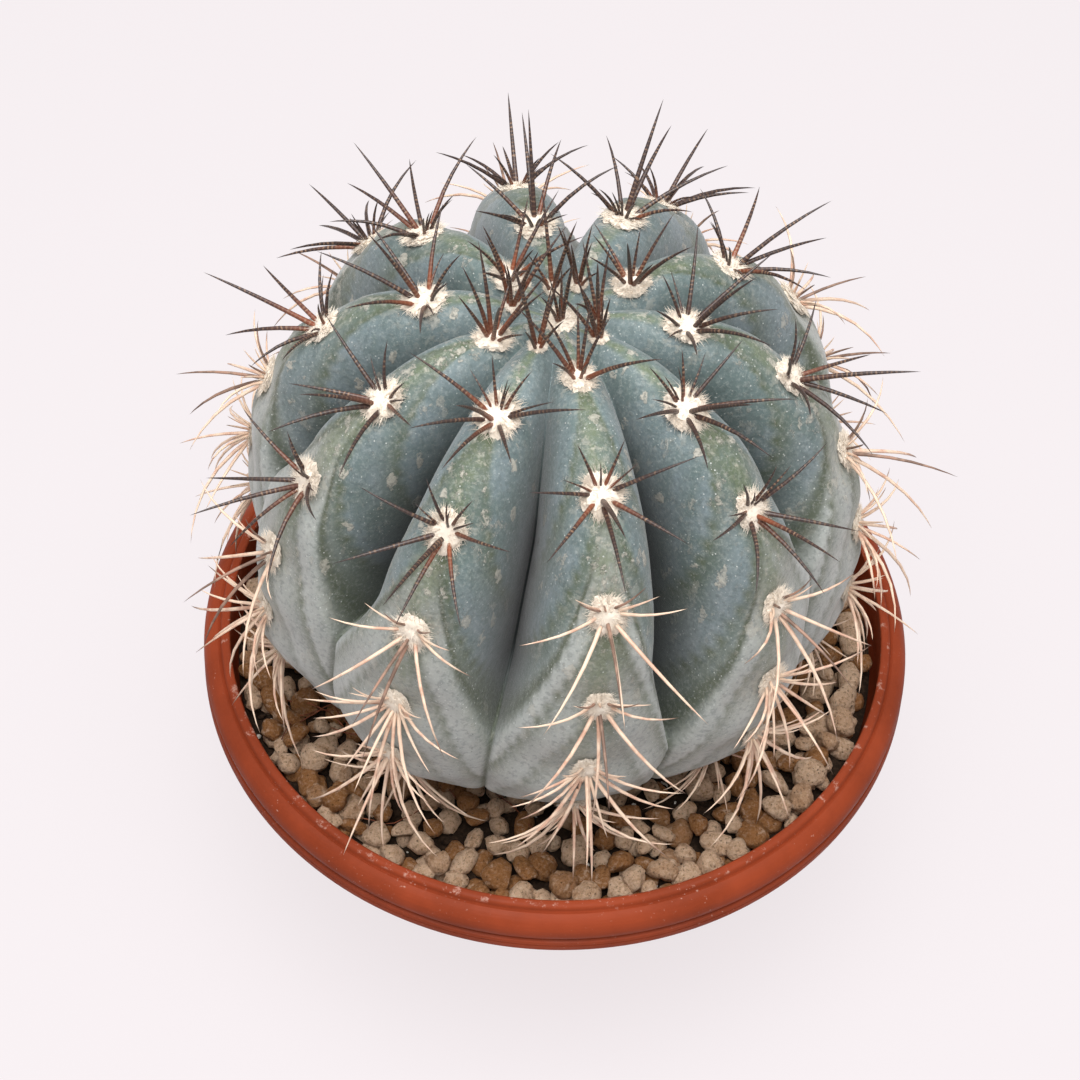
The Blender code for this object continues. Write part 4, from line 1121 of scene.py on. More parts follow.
class CACTUS_OT_gravel(PieceOperator, bpy.types.Operator):
    """Lay loose stones on the soil, each resting where it settles lowest"""

    bl_idname = "cactus.gravel"
    bl_label = "Gravel"

    def execute(self, context):
        settings = context.scene.cactus_gravel
        kinds = [self.stone(step) for step in range(settings.kinds)]
        rng = random.Random(GRAVEL_SEED)
        stones = []
        for spot, size in self.settle(settings, rng):
            copy = copy_of(rng.choice(kinds))
            turn = Matrix.Rotation(rng.uniform(0.0, math.tau), 4, "Z")
            lean = Matrix.Rotation(rng.uniform(-STONE_LEAN, STONE_LEAN), 4, "X")
            copy.data.transform(Matrix.Translation(spot) @ turn @ lean @ Matrix.Scale(size / 2.0, 4))
            write_mark(copy.data, "tint", rng.random())
            stones.append(copy)
        put_away(kinds)
        gravel = join(stones, "gravel_stones")
        round_off(gravel)
        dress(gravel, gravel_finish(settings))
        hand_over(gravel, "gravel", "gravel")
        return {"FINISHED"}

    def stone(self, step):
        """One worn stone a unit wide each way from its middle, for copies to be sized from."""
        piece = lump(f"stone_{step}", step + 40, 0.10, 3)
        bpy.ops.object.mode_set(mode="EDIT")
        bpy.ops.mesh.vertices_smooth(factor=0.5, repeat=1)
        long, flat = STONE_SHAPES[step % len(STONE_SHAPES)]
        bpy.ops.transform.resize(value=(long, 1.0, flat), center_override=(0.0, 0.0, 0.0))
        bpy.ops.object.mode_set(mode="OBJECT")
        self.wear_faces(piece, random.Random(step))
        roughen(piece, 0.55, 0.26)
        roughen(piece, 0.20, 0.20)
        points = read_points(piece.data)
        points -= (points.max(0) + points.min(0)) / 2.0
        breadth = (np.ptp(points[:, 0]) + np.ptp(points[:, 1])) / 2.0
        write_points(piece.data, points * 2.0 / breadth)
        return piece

    def wear_faces(self, piece, rng):
        """Flatten a few sides of a stone, as where it was broken off."""
        points = read_points(piece.data) + np.array([rng.uniform(-0.2, 0.2) for _ in range(3)])
        for _ in range(WORN_SIDES):
            facing = Vector((rng.gauss(0.0, 1.0), rng.gauss(0.0, 1.0), rng.gauss(0.0, 0.8))).normalized()
            beyond = points @ np.array(facing) - rng.uniform(*WORN_FROM)
            points -= np.outer(np.maximum(beyond, 0.0) * WORN_SHARE, facing)
        write_points(piece.data, points)

    def settle(self, settings, rng):
        """Drop stones one by one to the lowest of some random spots: (place, size) of each."""
        wall = wall_radius(SOIL_TOP) - WALL_CLEARANCE
        centres = np.empty((0, 3))
        halves = np.empty(0)
        laid = []
        for _ in range(settings.count):
            share = rng.random() ** STONES_MOSTLY_SMALL
            size = settings.smallest + (settings.largest - settings.smallest) * share
            half = size / 2.0
            best = None
            for _ in range(SETTLING_TRIES):
                spot = ring_spot(rng, NECK_RADIUS + NECK_CLEARANCE + half, wall - half, 0.0)
                level = SOIL_TOP + half * STONES_SQUASH * STONES_SINK
                if len(halves):
                    apart = np.hypot(centres[:, 0] - spot.x, centres[:, 1] - spot.y)
                    reach = (halves + half) * STONES_NEST
                    near = apart < reach
                    if near.any():
                        steps = np.sqrt(reach[near] ** 2 - apart[near] ** 2)
                        level = max(level, (centres[near, 2] + STONES_SQUASH * steps).max())
                level -= half * STONES_SLUMP * float(smooth_step(spot.xy.length, *STONES_RISE))
                if best is None or level < best.z:
                    best = Vector((spot.x, spot.y, level))
            if best.z + half * STONES_SQUASH > stones_top(best.xy.length):
                continue
            centres = np.vstack((centres, best))
            halves = np.append(halves, half)
            laid.append((best, size))
        return laid


def stones_top(radius):
    """Height that no stone stands above, which rises towards the pot's wall."""
    return STONES_TOP + (STONES_TOP_AT_WALL - STONES_TOP) * float(smooth_step(radius, *STONES_RISE))


def skin_relief(rib, across, distance, radius):
    """Fine form of the skin: hollows for the wool, a chin below each, and the folds that run from them."""
    lift = np.zeros_like(distance)
    band = np.zeros_like(distance)
    scar = np.zeros_like(distance)
    side = across * math.pi / RIBS * radius
    for number in range(RIBS):
        here = rib == number
        for mark in areole_distances(number):
            past = distance[here] - mark
            beside = side[here]
            spread = past ** 2 + beside ** 2
            lift[here] -= HOLLOW_DEPTH * np.exp(-spread / HOLLOW_SPREAD ** 2)
            lift[here] += CHIN_RISE * np.exp(-((past - CHIN_BELOW) / CHIN_LENGTH) ** 2
                                             - (beside / CHIN_WIDTH) ** 2)
            fold = mark + FOLD_LEAD + FOLD_RUN * np.abs(across[here]) ** FOLD_SPREAD
            apart = distance[here] - fold
            trail = np.where(apart > 0.0, np.exp(-apart / FOLD_TRAIL), np.exp(-(apart / FOLD_FRONT) ** 2))
            fade = 1.0 - FOLD_FADE * smooth_step(mark, *FOLD_FADES_BETWEEN)
            band[here] = np.maximum(band[here] * (apart < 0.0), trail * fade * (past > 0.0))
            scar[here] = np.maximum(scar[here], np.exp(-spread / SCAR_SPREAD ** 2))
    lift -= FOLD_DEPTH * band
    return lift, band, scar


class StemFinish(Finish):
    """Waxy blue-grey skin: olive folds, pale old skin, fine white specks, corky scabs and dark pits."""

    def __init__(self, settings):
        super().__init__("stem_skin", roughness=0.52, specular=0.35)
        self.settings = settings
        self.pale = tinted(settings.grey, 1.55)
        self.across = self.mark("across")
        self.age = self.mark("age")
        self.skirt = self.mark("skirt")
        self.broad = self.clouds(0.022, detail=4.0)
        self.streak = self.clouds(0.0050, detail=5.0, roughness=0.62, place=self.stretched(1.0, 1.0, 0.35))
        self.fine = self.clouds(0.0010, detail=5.0, roughness=0.75)

    def ground(self):
        """Teal with a waxy bloom on the young flanks, and grey where the skin is old or a skirt."""
        bloom = self.rise(self.maths("ADD", self.broad, self.times(self.streak, 0.6)), 0.62, 0.98)
        flank = self.rise(self.across, 0.08, 0.50, 0.25, 1.0)
        grown = self.rise(self.age, 0.05, 0.45, 0.40, 1.0)
        colour = self.blend(self.times(bloom, flank, grown), self.settings.teal, self.settings.blue)
        old = self.rise(self.maths("ADD", self.age, self.times(self.streak, 0.25)), 0.62, 1.02, 0.0, 0.6)
        skirt = self.times(self.skirt, self.rise(self.streak, 0.2, 0.7, 0.65, 1.0))
        return self.blend(self.maths("MAXIMUM", old, skirt), colour, self.settings.grey)

    def folds(self, colour):
        """Green crests, olive bands that run from the areoles, dark lines on the skirts, and painted shade
        in the skirts' creases.
        """
        olive = self.settings.olive
        green = self.times(self.rise(self.across, 0.04, 0.34, 1.0, 0.0),
                           self.rise(self.streak, 0.32, 0.60, 0.20, 0.72),
                           self.rise(self.age, 0.55, 0.90, 1.0, 0.25))
        colour = self.blend(green, colour, tinted(olive, 1.80))
        band = self.times(self.mark("band"), self.rise(self.streak, 0.28, 0.62, 0.62, 0.97))
        colour = self.blend(band, colour, olive)
        line = self.times(self.rise(self.skirt, 0.15, 0.62), self.rise(self.skirt, 0.66, 1.0, 1.0, 0.0),
                          self.rise(self.across, 0.05, 0.30, 0.15, 0.85))
        # Painted shade: the creases at the skirts' groove floors are darkened towards olive
        crease = self.times(self.rise(self.across, 0.94, 1.0, 0.0, 0.75), self.skirt)
        return self.blend(self.maths("MAXIMUM", line, crease), colour, tinted(olive, 0.72))

    def weather(self, colour):
        """Corky dust on the young crests, a pale mist and faint shadows."""
        dust = self.times(self.rise(self.across, 0.06, 0.45, 1.0, 0.0),
                          self.rise(self.clouds(0.0032, detail=6.0, roughness=0.7), 0.54, 0.66),
                          self.rise(self.age, 0.35, 0.75, 0.55, 0.15))
        colour = self.blend(dust, colour, self.settings.cork)
        colour = self.blend(self.rise(self.fine, 0.46, 0.72, 0.0, 0.24), colour, self.pale)
        shadow = self.rise(self.clouds(0.0013, detail=3.0), 0.36, 0.50, 0.28, 0.0)
        return self.blend(shadow, colour, tinted(self.settings.teal, 0.45))

    def specks(self):
        """Where fine white specks sit, in loose clusters."""
        size = 0.00125
        specks = self.rise(self.cells(size), 0.11, 0.19, 1.0, 0.0)
        few = self.rise(self.split(self.cells(size, "Color"), 1), 0.30, 0.75)
        return self.times(specks, few, self.rise(self.clouds(0.0080, detail=2.0), 0.32, 0.62, 0.25, 1.0))

    def scabs(self):
        """Where the skin is corky: ragged spots, blotches on the crests and scars round the areoles."""
        size = 0.0064
        long = self.stretched(1.0, 1.0, 0.55)
        wobble = self.clouds(0.0019, detail=4.0)
        ragged = self.maths("ADD", self.times(wobble, 0.62), self.times(self.fine, 0.18))
        spots = self.rise(self.maths("ADD", self.cells(size, place=long), ragged), 0.57, 0.61, 1.0, 0.0)
        rare = self.rise(self.split(self.cells(size, "Color", long), 2), 0.50, 0.54)
        spots = self.times(spots, rare, self.rise(self.age, 0.40, 0.75, 1.0, 0.2))
        blotches = self.clouds(0.0058, detail=7.0, roughness=0.72, place=long)
        blotches = self.times(self.rise(blotches, 0.590, 0.625),
                              self.rise(self.across, 0.35, 0.80, 1.0, 0.35),
                              self.rise(self.age, 0.45, 0.75, 0.9, 0.0))
        worn = self.rise(self.fine, 0.36, 0.52, 0.45, 1.0)
        scars = self.times(self.mark("scar"), self.rise(wobble, 0.52, 0.62), 0.55)
        return self.maths("MAXIMUM", self.times(self.maths("MAXIMUM", spots, blotches), worn), scars)

    def pits(self):
        """Where small dark pits lie in the old skin."""
        size = 0.0019
        pits = self.rise(self.cells(size), 0.07, 0.15, 1.0, 0.0)
        scarce = self.rise(self.split(self.cells(size, "Color"), 0), 0.66, 0.70)
        return self.times(pits, scarce, self.rise(self.age, 0.45, 0.9))

    def complete(self):
        """Lay all the layers over each other, with painted shade darkest in the open grooves."""
        colour = self.weather(self.folds(self.ground()))
        specks = self.specks()
        scabs = self.scabs()
        shown = self.times(specks, self.rise(self.age, 0.55, 0.95, 0.85, 0.2))
        colour = self.blend(shown, colour, self.pale)
        colour = self.blend(self.times(scabs, 0.78), colour, self.settings.cork)
        colour = self.blend(self.times(self.pits(), 0.75), colour, (0.03, 0.035, 0.03))
        # Painted shade: the open grooves darken towards a deep teal, as far as their depth reaches
        sunk = self.times(self.rise(self.across, 0.60, 0.98, 0.0, 0.98), self.mark("deep"))
        colour = self.blend(sunk, colour, tinted(self.settings.teal, 0.14))
        relief = self.bump(self.clouds(0.0045, detail=2.0), 0.00045, 0.5)
        relief = self.bump(self.fine, 0.00018, 0.9, relief)
        relief = self.bump(specks, 0.00008, 0.8, relief)
        relief = self.bump(scabs, 0.00018, 0.9, relief)
        self.put(self.shader, "Sheen Weight", 0.20)
        self.put(self.shader, "Sheen Roughness", 0.5)
        return self.wear(colour, relief, self.rise(self.broad, 0.3, 0.7, 0.44, 0.60))


class CACTUS_OT_stem(PieceOperator, bpy.types.Operator):
    """Raise the ribbed stem from a ball"""

    bl_idname = "cactus.stem"
    bl_label = "Stem"

    neck_from = 0.82
    root_from = 0.95
    neck_fade = 0.06
    lift_fades = (0.76, 0.86)
    ring_crowding = 0.95
    groove_crowding = 0.5

    def execute(self, context):
        settings = context.scene.cactus_stem
        lay_down()
        bpy.ops.mesh.primitive_uv_sphere_add(segments=RIBS * settings.columns // 4, radius=1.0,
                                             ring_count=settings.rings // 4, location=(0.0, 0.0, 0.0))
        stem = named(context.object, "stem_skin")
        apply_step(stem, "SUBSURF", subdivision_type="SIMPLE", levels=2)
        self.shape(stem)
        round_off(stem)
        dress(stem, StemFinish(settings).complete())
        hand_over(stem, "stem", "stem")
        return {"FINISHED"}

    def shape(self, stem):
        """Move the ball's points onto the skin, and mark them for the finish."""
        ball = read_points(stem.data)
        ball /= np.linalg.norm(ball, axis=1)[:, None]
        around_share = np.arctan2(ball[:, 0], -ball[:, 1]) / math.tau * RIBS
        down = np.arccos(np.clip(ball[:, 2], -1.0, 1.0)) / math.pi
        nearest = np.round(around_share)
        rib = nearest.astype(int) % RIBS
        across = 2.0 * (around_share - nearest)
        across -= self.groove_crowding * np.sin(math.tau * across) / math.tau
        angle = TUCK_ANGLE * np.clip(down / self.neck_from, 0.0, 1.0) ** self.ring_crowding
        distance = distance_at(angle)
        radius, _ = crest(angle)
        lift, band, scar = skin_relief(rib, across, distance, radius)
        lift += np.array([noise.noise(Vector(point) * SKIN_WAVES) for point in ball]) * SKIN_WAVE_HEIGHT
        lift *= 1.0 - smooth_step(down, *self.lift_fades)
        points = skin_points(rib, across, angle, lift)
        under = down > self.neck_from
        share = np.clip((down - self.neck_from) / (self.root_from - self.neck_from), 0.0, 1.0)
        points[under] = neck_points(rib[under], across[under], share[under], 0.0)
        self.sink_root(points, down)
        write_points(stem.data, points)
        skirt = skirt_share(rib, across, distance)
        above = 1.0 - smooth_step(down, self.neck_from, self.neck_from + self.neck_fade)
        age = np.clip(distance / TABLE_DISTANCES[-1] + share * 0.1, 0.0, 1.0)
        # deep: how far each open groove is sunk, which the finish turns into painted shade
        deep = groove_depth(angle) / GROOVE_DEPTH * (1.0 - skirt)
        for name, values in (("across", np.abs(across)), ("band", band * above), ("skirt", skirt),
                             ("scar", scar), ("deep", deep), ("age", age)):
            write_mark(stem.data, name, values)

    def sink_root(self, points, down):
        """Draw the last rings down into the soil and close them."""
        low = down > self.root_from
        share = (down[low] - self.root_from) / (1.0 - self.root_from)
        spoke = points[low] - np.array(STEM_CENTRE)
        turn = np.arctan2(spoke[:, 0], -spoke[:, 1])
        radius = np.interp(share, (0.0, 0.5, 1.0), (NECK_RADIUS, ROOT_RADIUS, 0.0))
        height = np.interp(share, (0.0, 0.5, 1.0), (NECK_HEIGHT, ROOT_HEIGHT, ROOT_HEIGHT))
        points[low] = around(turn, radius, height)


def wool_finish(settings):
    """Matted wool, cream when young and greyer with age, with painted shade in soft patches."""
    finish = Finish("wool", roughness=0.95, specular=0.1)
    age = finish.mark("age")
    colour = finish.blend(age, settings.cream, settings.weathered)
    # Painted shade: a darker copy of the wool's colour, laid in soft patches
    shade = finish.blend(age, tinted(settings.cream, 0.62), tinted(settings.weathered, 0.50))
    painted_shade_patches = finish.rise(finish.clouds(0.0009, detail=5.0, roughness=0.7), 0.30, 0.52, 0.55, 0.0)
    finish.put(finish.shader, "Sheen Weight", 0.25)
    relief = finish.bump(finish.clouds(0.00035, detail=4.0, roughness=0.8), 0.00022)
    return finish.wear(finish.blend(painted_shade_patches, colour, shade), relief)


def lay_hair(pattern, tufts, rng):
    """Copy of a hair that leans out from a random spot of a pad, more often in a tuft than not."""
    if rng.random() < TUFTED_SHARE:
        turn = rng.choice(tufts) + rng.gauss(0.0, 0.22)
    else:
        turn = rng.uniform(0.0, math.tau)
    out = math.sqrt(rng.uniform(0.02, 1.0))
    height = 0.26 * math.sqrt(1.0 - out * out * 0.96)
    root = Vector((out * 0.98 * math.cos(turn), out * 0.86 * math.sin(turn), height))
    swing = turn + rng.gauss(0.0, 0.55)
    flat = 0.25 + out
    way = Vector((math.cos(swing) * flat, math.sin(swing) * flat, rng.uniform(-0.05, 0.75) * (1.2 - out)))
    length = rng.uniform(*HAIR_LENGTHS)
    hair = copy_of(pattern)
    pose = Matrix.Translation(root) @ way.to_track_quat("Z", "Y").to_matrix().to_4x4()
    hair.data.transform(pose @ Matrix.Diagonal((HAIR_WIDTH, HAIR_WIDTH, length, 1.0)))
    return hair


def wool_pad(settings, step):
    """Oval pad of wool two units long, matted in the middle and ragged with hairs all round."""
    pad = lump(f"pad_{step}", step + 90, 0.05, 4)
    roughen(pad, 0.36 + 0.02 * step, 0.75)
    roughen(pad, 0.11, 0.30)
    pad.data.transform(Matrix.Diagonal((*PAD_SHAPE, 1.0)))
    lay_down()
    bpy.ops.mesh.primitive_cone_add(vertices=3, radius1=1.0, radius2=0.0, depth=1.0,
                                    location=(0.0, 0.0, 0.5))
    bpy.ops.object.transform_apply(location=True)
    pattern = bpy.context.object
    rng = random.Random(step)
    tufts = [rng.uniform(0.0, math.tau) for _ in range(TUFTS)]
    hairs = [lay_hair(pattern, tufts, rng) for _ in range(settings.hairs)]
    put_away([pattern])
    return join([pad] + hairs, f"pad_{step}")


def lay_pad(pattern, near, length, age):
    """Copy of a wool pad, sized and set on the skin."""
    centre, outward, upward, side = near
    copy = copy_of(pattern)
    rise = min(length, PAD_HEIGHT)
    pose = Matrix((upward * length, side * length, outward * rise)).transposed().to_4x4()
    pose.translation = centre + outward * PAD_LIFT
    copy.data.transform(pose)
    if pose.determinant() < 0.0:
        copy.data.flip_normals()
    write_mark(copy.data, "age", age)
    return copy


def spine_pattern(sides):
    """Straight spine one unit long and of radius one, swollen at its root."""
    lay_down()
    bpy.ops.mesh.primitive_circle_add(vertices=sides, radius=SPINE_TAPER[0][1], fill_type="NGON",
                                      location=(0.0, 0.0, 0.0))
    piece = named(bpy.context.object, "spine_pattern")
    bpy.ops.object.mode_set(mode="EDIT")
    bpy.ops.mesh.select_mode(type="EDGE")
    bpy.ops.mesh.select_all(action="SELECT")
    for (low, wide), (high, narrow) in zip(SPINE_TAPER, SPINE_TAPER[1:]):
        bpy.ops.mesh.extrude_edges_move(TRANSFORM_OT_translate={"value": (0.0, 0.0, high - low)})
        size = narrow / wide
        bpy.ops.transform.resize(value=(size, size, 1.0), center_override=(0.0, 0.0, high))
    last = 1.0 - SPINE_TAPER[-1][0]
    bpy.ops.mesh.extrude_edges_move(TRANSFORM_OT_translate={"value": (0.0, 0.0, last)})
    bpy.ops.mesh.merge(type="CENTER")
    bpy.ops.object.mode_set(mode="OBJECT")
    face_out(piece)
    return piece


def bend_spine(pattern, root, tip, radius, bow, tone):
    """Copy of the spine that runs from its root to its tip along a shallow curve."""
    copy = copy_of(pattern)
    points = read_points(copy.data)
    along = np.array(tip - root)
    length = np.linalg.norm(along)
    share = points[:, 2:3]
    bow = np.array(bow)
    middle = np.array(root) + along * share + bow * 4.0 * share * (1.0 - share)
    heading = along + bow * 4.0 * (1.0 - 2.0 * share)
    heading /= np.linalg.norm(heading, axis=1)[:, None]
    first = np.cross(heading, np.array((0.31, 0.52, 0.79)))
    first /= np.linalg.norm(first, axis=1)[:, None]
    second = np.cross(heading, first)
    thick = radius * (points[:, 0:1] * first + points[:, 1:2] * second)
    write_points(copy.data, middle + thick)
    write_mark(copy.data, "reach", share[:, 0] * length)
    write_mark(copy.data, "share", share[:, 0])
    write_mark(copy.data, "tone", tone)
    return copy


def dark_spine_finish(settings):
    """Glossy brown-black with reddish roots and fine pale rings."""
    finish = Finish("spine_dark", roughness=0.42, specular=0.5)
    share, tone, reach = finish.mark("share"), finish.mark("tone"), finish.mark("reach")
    patchy = finish.rise(finish.clouds(0.0034, detail=3.0), 0.40, 0.66)
    rooted = finish.rise(finish.maths("ADD", share, finish.times(patchy, 0.16)), 0.05, 0.60, 0.95, 0.04)
    flushed = finish.times(rooted, finish.rise(tone, 0.45, 0.94, 0.06, 1.0))
    colour = finish.blend(flushed, settings.dark, settings.red)
    sway = finish.times(finish.clouds(0.004, detail=3.0), RING_SWAY)
    rings = finish.maths("SINE", finish.maths("ADD", finish.times(reach, RING_TURNS), sway))
    rings = finish.times(finish.rise(rings, 0.0, 0.90), finish.rise(patchy, 0.0, 1.0, 0.25, 1.0),
                         finish.rise(tone, 0.0, 1.0, 0.35, 0.70), finish.rise(share, 0.60, 0.95, 1.0, 0.25))
    return finish.wear(finish.blend(rings, colour, settings.band), finish.bump(rings, 0.00005, 0.6))


def pale_spine_finish(settings):
    """Bone with rosy-tan flushes, a few of them brown at the tip or all along."""
    finish = Finish("spine_pale", roughness=0.55, specular=0.35)
    share, tone = finish.mark("share"), finish.mark("tone")
    patch = finish.rise(finish.clouds(0.0042, detail=4.0), 0.40, 0.66)
    flush = finish.times(patch, finish.rise(tone, 0.0, 0.8, 0.35, 1.0))
    colour = finish.blend(flush, settings.bone, settings.rose)
    tipped = finish.times(finish.rise(share, 0.60, 0.95), finish.rise(tone, 0.66, 0.74), 0.80)
    colour = finish.blend(tipped, colour, settings.brown)
    browned = finish.times(finish.rise(tone, 0.90, 0.94), finish.rise(patch, 0.0, 1.0, 0.92, 0.55))
    colour = finish.blend(browned, colour, settings.brown)
    return finish.wear(colour, finish.bump(finish.clouds(0.0007), 0.00004))


def spine_axes(node):
    """Axes of a solid's spines, as (root, tip), read from the corners that only a tip has."""
    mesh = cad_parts[node].data
    points = read_points(mesh)
    keys = [tuple(row) for row in np.round(points * 1.0e6).astype(int)]
    beside = {}
    for polygon in mesh.polygons:
        corners = [keys[index] for index in polygon.vertices]
        for corner in corners:
            beside.setdefault(corner, set()).update(other for other in corners if other != corner)
    axes = []
    for corner, others in beside.items():
        tip = Vector(corner) * 1.0e-6
        roots = [Vector(other) * 1.0e-6 for other in others]
        if min((root - tip).length for root in roots) > SHORTEST_AXIS:
            axes.append((sum(roots, Vector()) / len(roots), tip))
    return axes


def thickness(rule, length):
    """Radius of a spine at its root, by its length."""
    return rule[0] + rule[1] * length


class SprayMaker:
    """Grows the spines of an areole round those that its solid has."""

    def __init__(self, settings, skin):
        self.pattern = spine_pattern(settings.sides)
        self.skin = skin

    def clear(self, root, tip, bow):
        """Whether a spine keeps off the skin and above the stones."""
        for share in CHECKED_SHARES:
            spot = root.lerp(tip, share) + bow * 4.0 * share * (1.0 - share)
            near, normal, _, apart = self.skin.find_nearest(spot)
            if apart < SKIN_CLEARANCE or (spot - near).dot(normal) < 0.0 or spot.z < SPINES_ABOVE:
                return False
        return True

    def grow(self, near, turn, lean, length, radius, bend, tone, spread):
        """One more spine by its turn from up the rib and its lean off the skin, lifted until it is clear."""
        centre, outward, upward, side = near
        turn = math.radians(turn)
        for lift in range(0, 50, 7):
            rise = math.radians(min(lean + lift, STEEPEST))
            flat = upward * math.cos(turn) + side * math.sin(turn)
            way = flat * math.cos(rise) + outward * math.sin(rise)
            root = centre + (way - outward * way.dot(outward)) * spread + outward * ROOT_LIFT
            tip = root + way * length
            bow = (outward - way * outward.dot(way)) * length * bend
            if self.clear(root, tip, bow):
                return bend_spine(self.pattern, root, tip, radius, bow, tone)
        return None

    def follow(self, near, root, tip, radius, bend, tone, stretch):
        """Curved spine in the place of a straight one of the solid, stretched by a share if it fits."""
        _, outward, _, _ = near
        way = (tip - root).normalized()
        start = root - way * ROOT_DEPTH + (way - outward * way.dot(outward)) * SPINES_APART
        for share in (stretch, 1.0):
            end = start + (tip - start) * share
            bow = (outward - way * outward.dot(way)) * (end - start).length * bend
            inside = all(low < at < high for low, at, high in zip(CACTUS_LOW, end, CACTUS_HIGH))
            if inside and self.clear(start, end, bow):
                break
        return bend_spine(self.pattern, start, end, radius, bow, tone)


class SprayOperator(PieceOperator):
    """What the steps that set wool and grow spines share."""

    def prepare(self, context):
        """Model the pads and the spine, and find the skin that they stand on."""
        stem = bpy.data.objects.get("stem_skin")
        if stem is None:
            raise RuntimeError("the stem comes before its areoles")
        wool, spines = context.scene.cactus_wool, context.scene.cactus_spines
        known = bpy.data.materials
        self.wool_material = known.get("wool") or wool_finish(wool)
        self.dark_material = known.get("spine_dark") or dark_spine_finish(spines)
        self.pale_material = known.get("spine_pale") or pale_spine_finish(spines)
        self.pads = [wool_pad(wool, step) for step in range(wool.kinds)]
        self.maker = SprayMaker(spines, BVHTree.FromObject(stem, context.evaluated_depsgraph_get()))

    def clear_away(self):
        """Remove what was only modelled to be copied."""
        put_away(self.pads + [self.maker.pattern])

    def finish_pieces(self, node, pads, spines, pale):
        """Join the wool and the spines that stand for a solid, and hand both over."""
        wool = join(pads, f"{node}_wool")
        round_off(wool, math.radians(60.0))
        dress(wool, self.wool_material)
        hand_over(wool, "wool", node)
        spray = join(spines, f"{node}_spines")
        round_off(spray, math.radians(60.0))
        dress(spray, self.pale_material if pale else self.dark_material)
        hand_over(spray, "spines_pale" if pale else "spines_dark", node)


class CACTUS_OT_areoles(SprayOperator, bpy.types.Operator):
    """Set the wool pads along the ribs and grow their spines"""

    bl_idname = "cactus.areoles"
    bl_label = "Areoles"

    def execute(self, context):
        self.prepare(context)
        rng = random.Random(AREOLE_SEED)
        for rib in range(RIBS):
            for row, distance in enumerate(areole_distances(rib)):
                if distance >= CROWN_REACH:
                    self.make_areole(rib, row, distance, rng)
        self.clear_away()
        return {"FINISHED"}

    def make_areole(self, rib, row, distance, rng):
        """One wool pad with its spray."""
        near = areole_frame(rib, distance)
        node = f"areole_{rib}_{row}"
        pale = distance > PALE_FROM
        half = pad_length(distance)
        age = float(smooth_step(distance, *PAD_AGES_BETWEEN))
        pad = lay_pad(rng.choice(self.pads), near, half * rng.uniform(*PAD_GROWTH), age)
        spines = []
        for root, tip in spine_axes(node):
            length = (tip - root).length
            bend = rng.uniform(*(PALE_BENDS if pale else DARK_BENDS))
            tone = rng.random() * 0.9
            if pale and distance < BROWN_UNTIL and (tip - root).dot(near[1]) > BROWN_LEAN * length:
                tone = 1.0
            thick = thickness(PALE_THICKNESS if pale else DARK_THICKNESS, length)
            stretch = rng.uniform(*SPINE_STRETCHES)
            spines.append(self.maker.follow(near, root, tip, thick, bend, tone, stretch))
        spines += self.grow_extra(near, distance, half, rng)
        self.finish_pieces(node, [pad], spines, pale)

    def grow_extra(self, near, distance, half, rng):
        """Small spines between the others, and a fan below them on the oldest areoles."""
        extra = SMALL_SPINES[: rng.randint(2, 4)]
        if distance > FAN_FROM:
            extra += FAN_SPINES[: rng.randint(3, 5)]
        grown = []
        for turn, lean, length in extra:
            length *= rng.uniform(0.75, 1.2)
            turn += rng.uniform(-12.0, 12.0)
            lean += rng.uniform(-8.0, 8.0)
            grown.append(self.maker.grow(near, turn, lean, length, thickness(EXTRA_THICKNESS, length),
                                         rng.uniform(0.03, 0.12), rng.random() * 0.9, half * 0.5))
        return [spine for spine in grown if spine is not None]


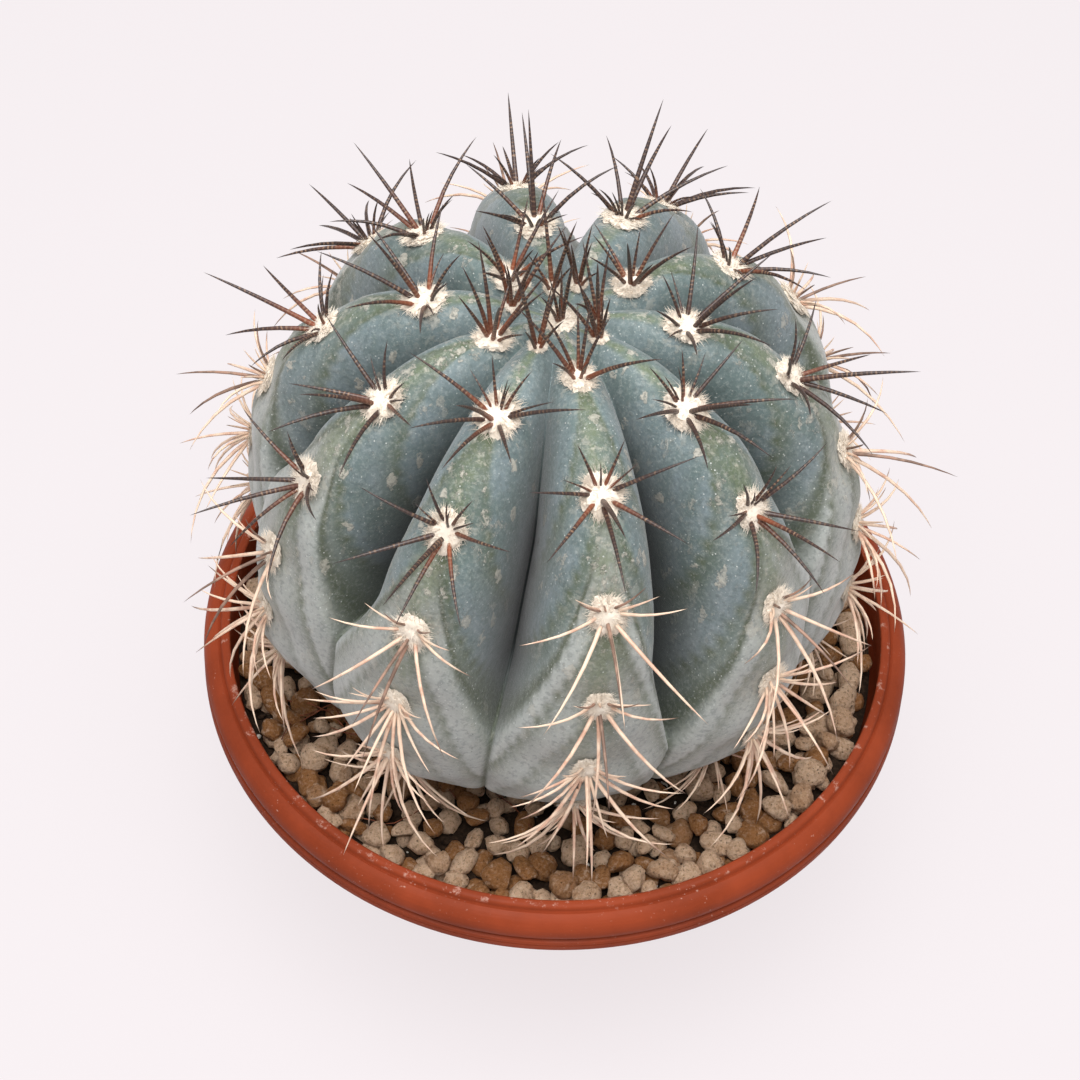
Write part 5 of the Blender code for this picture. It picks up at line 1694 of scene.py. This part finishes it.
class CACTUS_OT_crown(SprayOperator, bpy.types.Operator):
    """Set felt, young pads and upright spines round the growing point"""

    bl_idname = "cactus.crown"
    bl_label = "Crown"

    def execute(self, context):
        self.prepare(context)
        rng = random.Random(CROWN_SEED)
        pads = []
        spines = []
        for near, length, age, spray in self.places():
            pads.append(lay_pad(rng.choice(self.pads), near, length, age))
            spines += self.grow_young(near, rng, *spray)
        self.finish_pieces("crown", pads, spines, False)
        self.clear_away()
        return {"FINISHED"}

    def places(self):
        """Each pad's place, half length, age and spray: youngest areoles, young pads, growing point."""
        spots = []
        for rib in range(RIBS):
            distance = areole_distances(rib)[0]
            if distance < CROWN_REACH:
                half = pad_length(distance) * CROWN_PAD_SHARE
                spots.append((areole_frame(rib, distance), half, 0.0, CROWN_SPRAY))
        for rib, distance in YOUNG_PADS.items():
            spots.append((areole_frame(rib, distance), YOUNG_PAD_LENGTH, 1.0, YOUNG_SPRAY))
        heart = (areole_frame(0, HEART_DISTANCE)[0], Vector((0.0, 0.0, 1.0)), Vector((0.0, 1.0, 0.0)),
                 Vector((-1.0, 0.0, 0.0)))
        return spots + [(heart, HEART_PAD_LENGTH, 1.0, HEART_SPRAY)]

    def grow_young(self, near, rng, count, lengths, lean):
        """Upright young spines of one pad."""
        grown = []
        for index in range(count):
            turn = 360.0 * index / count + rng.uniform(-18.0, 18.0)
            stand = rng.uniform(lean, min(lean + 40.0, STEEPEST))
            length = rng.uniform(*lengths)
            grown.append(self.maker.grow(near, turn, stand, length, thickness(YOUNG_THICKNESS, length),
                                         rng.uniform(0.02, 0.12), rng.uniform(0.6, 1.0), YOUNG_SPREAD))
        return [spine for spine in grown if spine is not None]


STEPS = (
    (CACTUS_OT_stage, "cactus_stage", StageSettings),
    (CACTUS_OT_pot, "cactus_pot", PotSettings),
    (CACTUS_OT_soil, "cactus_soil", SoilSettings),
    (CACTUS_OT_gravel, "cactus_gravel", GravelSettings),
    (CACTUS_OT_stem, "cactus_stem", StemSettings),
    (CACTUS_OT_areoles, "cactus_wool", WoolSettings),
    (CACTUS_OT_crown, "cactus_spines", SpineSettings),
)


class CACTUS_PT_sidebar(bpy.types.Panel):
    """Steps and their settings"""

    bl_idname = "CACTUS_PT_sidebar"
    bl_label = "Potted cactus"
    bl_space_type = "VIEW_3D"
    bl_region_type = "UI"
    bl_category = "Cactus"

    def draw(self, context):
        for step, name, group in STEPS:
            box = self.layout.box()
            for setting in group.__annotations__:
                box.prop(getattr(context.scene, name), setting)
            box.operator(step.bl_idname)


def register():
    """Make the steps and their settings known."""
    for step, name, group in STEPS:
        bpy.utils.register_class(group)
        bpy.utils.register_class(step)
        setattr(bpy.types.Scene, name, bpy.props.PointerProperty(type=group))
    bpy.utils.register_class(CACTUS_PT_sidebar)


def unregister():
    """Take the steps and their settings away again."""
    bpy.utils.unregister_class(CACTUS_PT_sidebar)
    for step, name, group in reversed(STEPS):
        delattr(bpy.types.Scene, name)
        bpy.utils.unregister_class(step)
        bpy.utils.unregister_class(group)


def main():
    """Build every piece in order."""
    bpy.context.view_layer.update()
    register()
    bpy.ops.cactus.stage()
    bpy.ops.cactus.pot()
    bpy.ops.cactus.soil()
    bpy.ops.cactus.gravel()
    bpy.ops.cactus.stem()
    bpy.ops.cactus.areoles()
    bpy.ops.cactus.crown()
    lay_down()


if __name__ == "__main__":
    main()
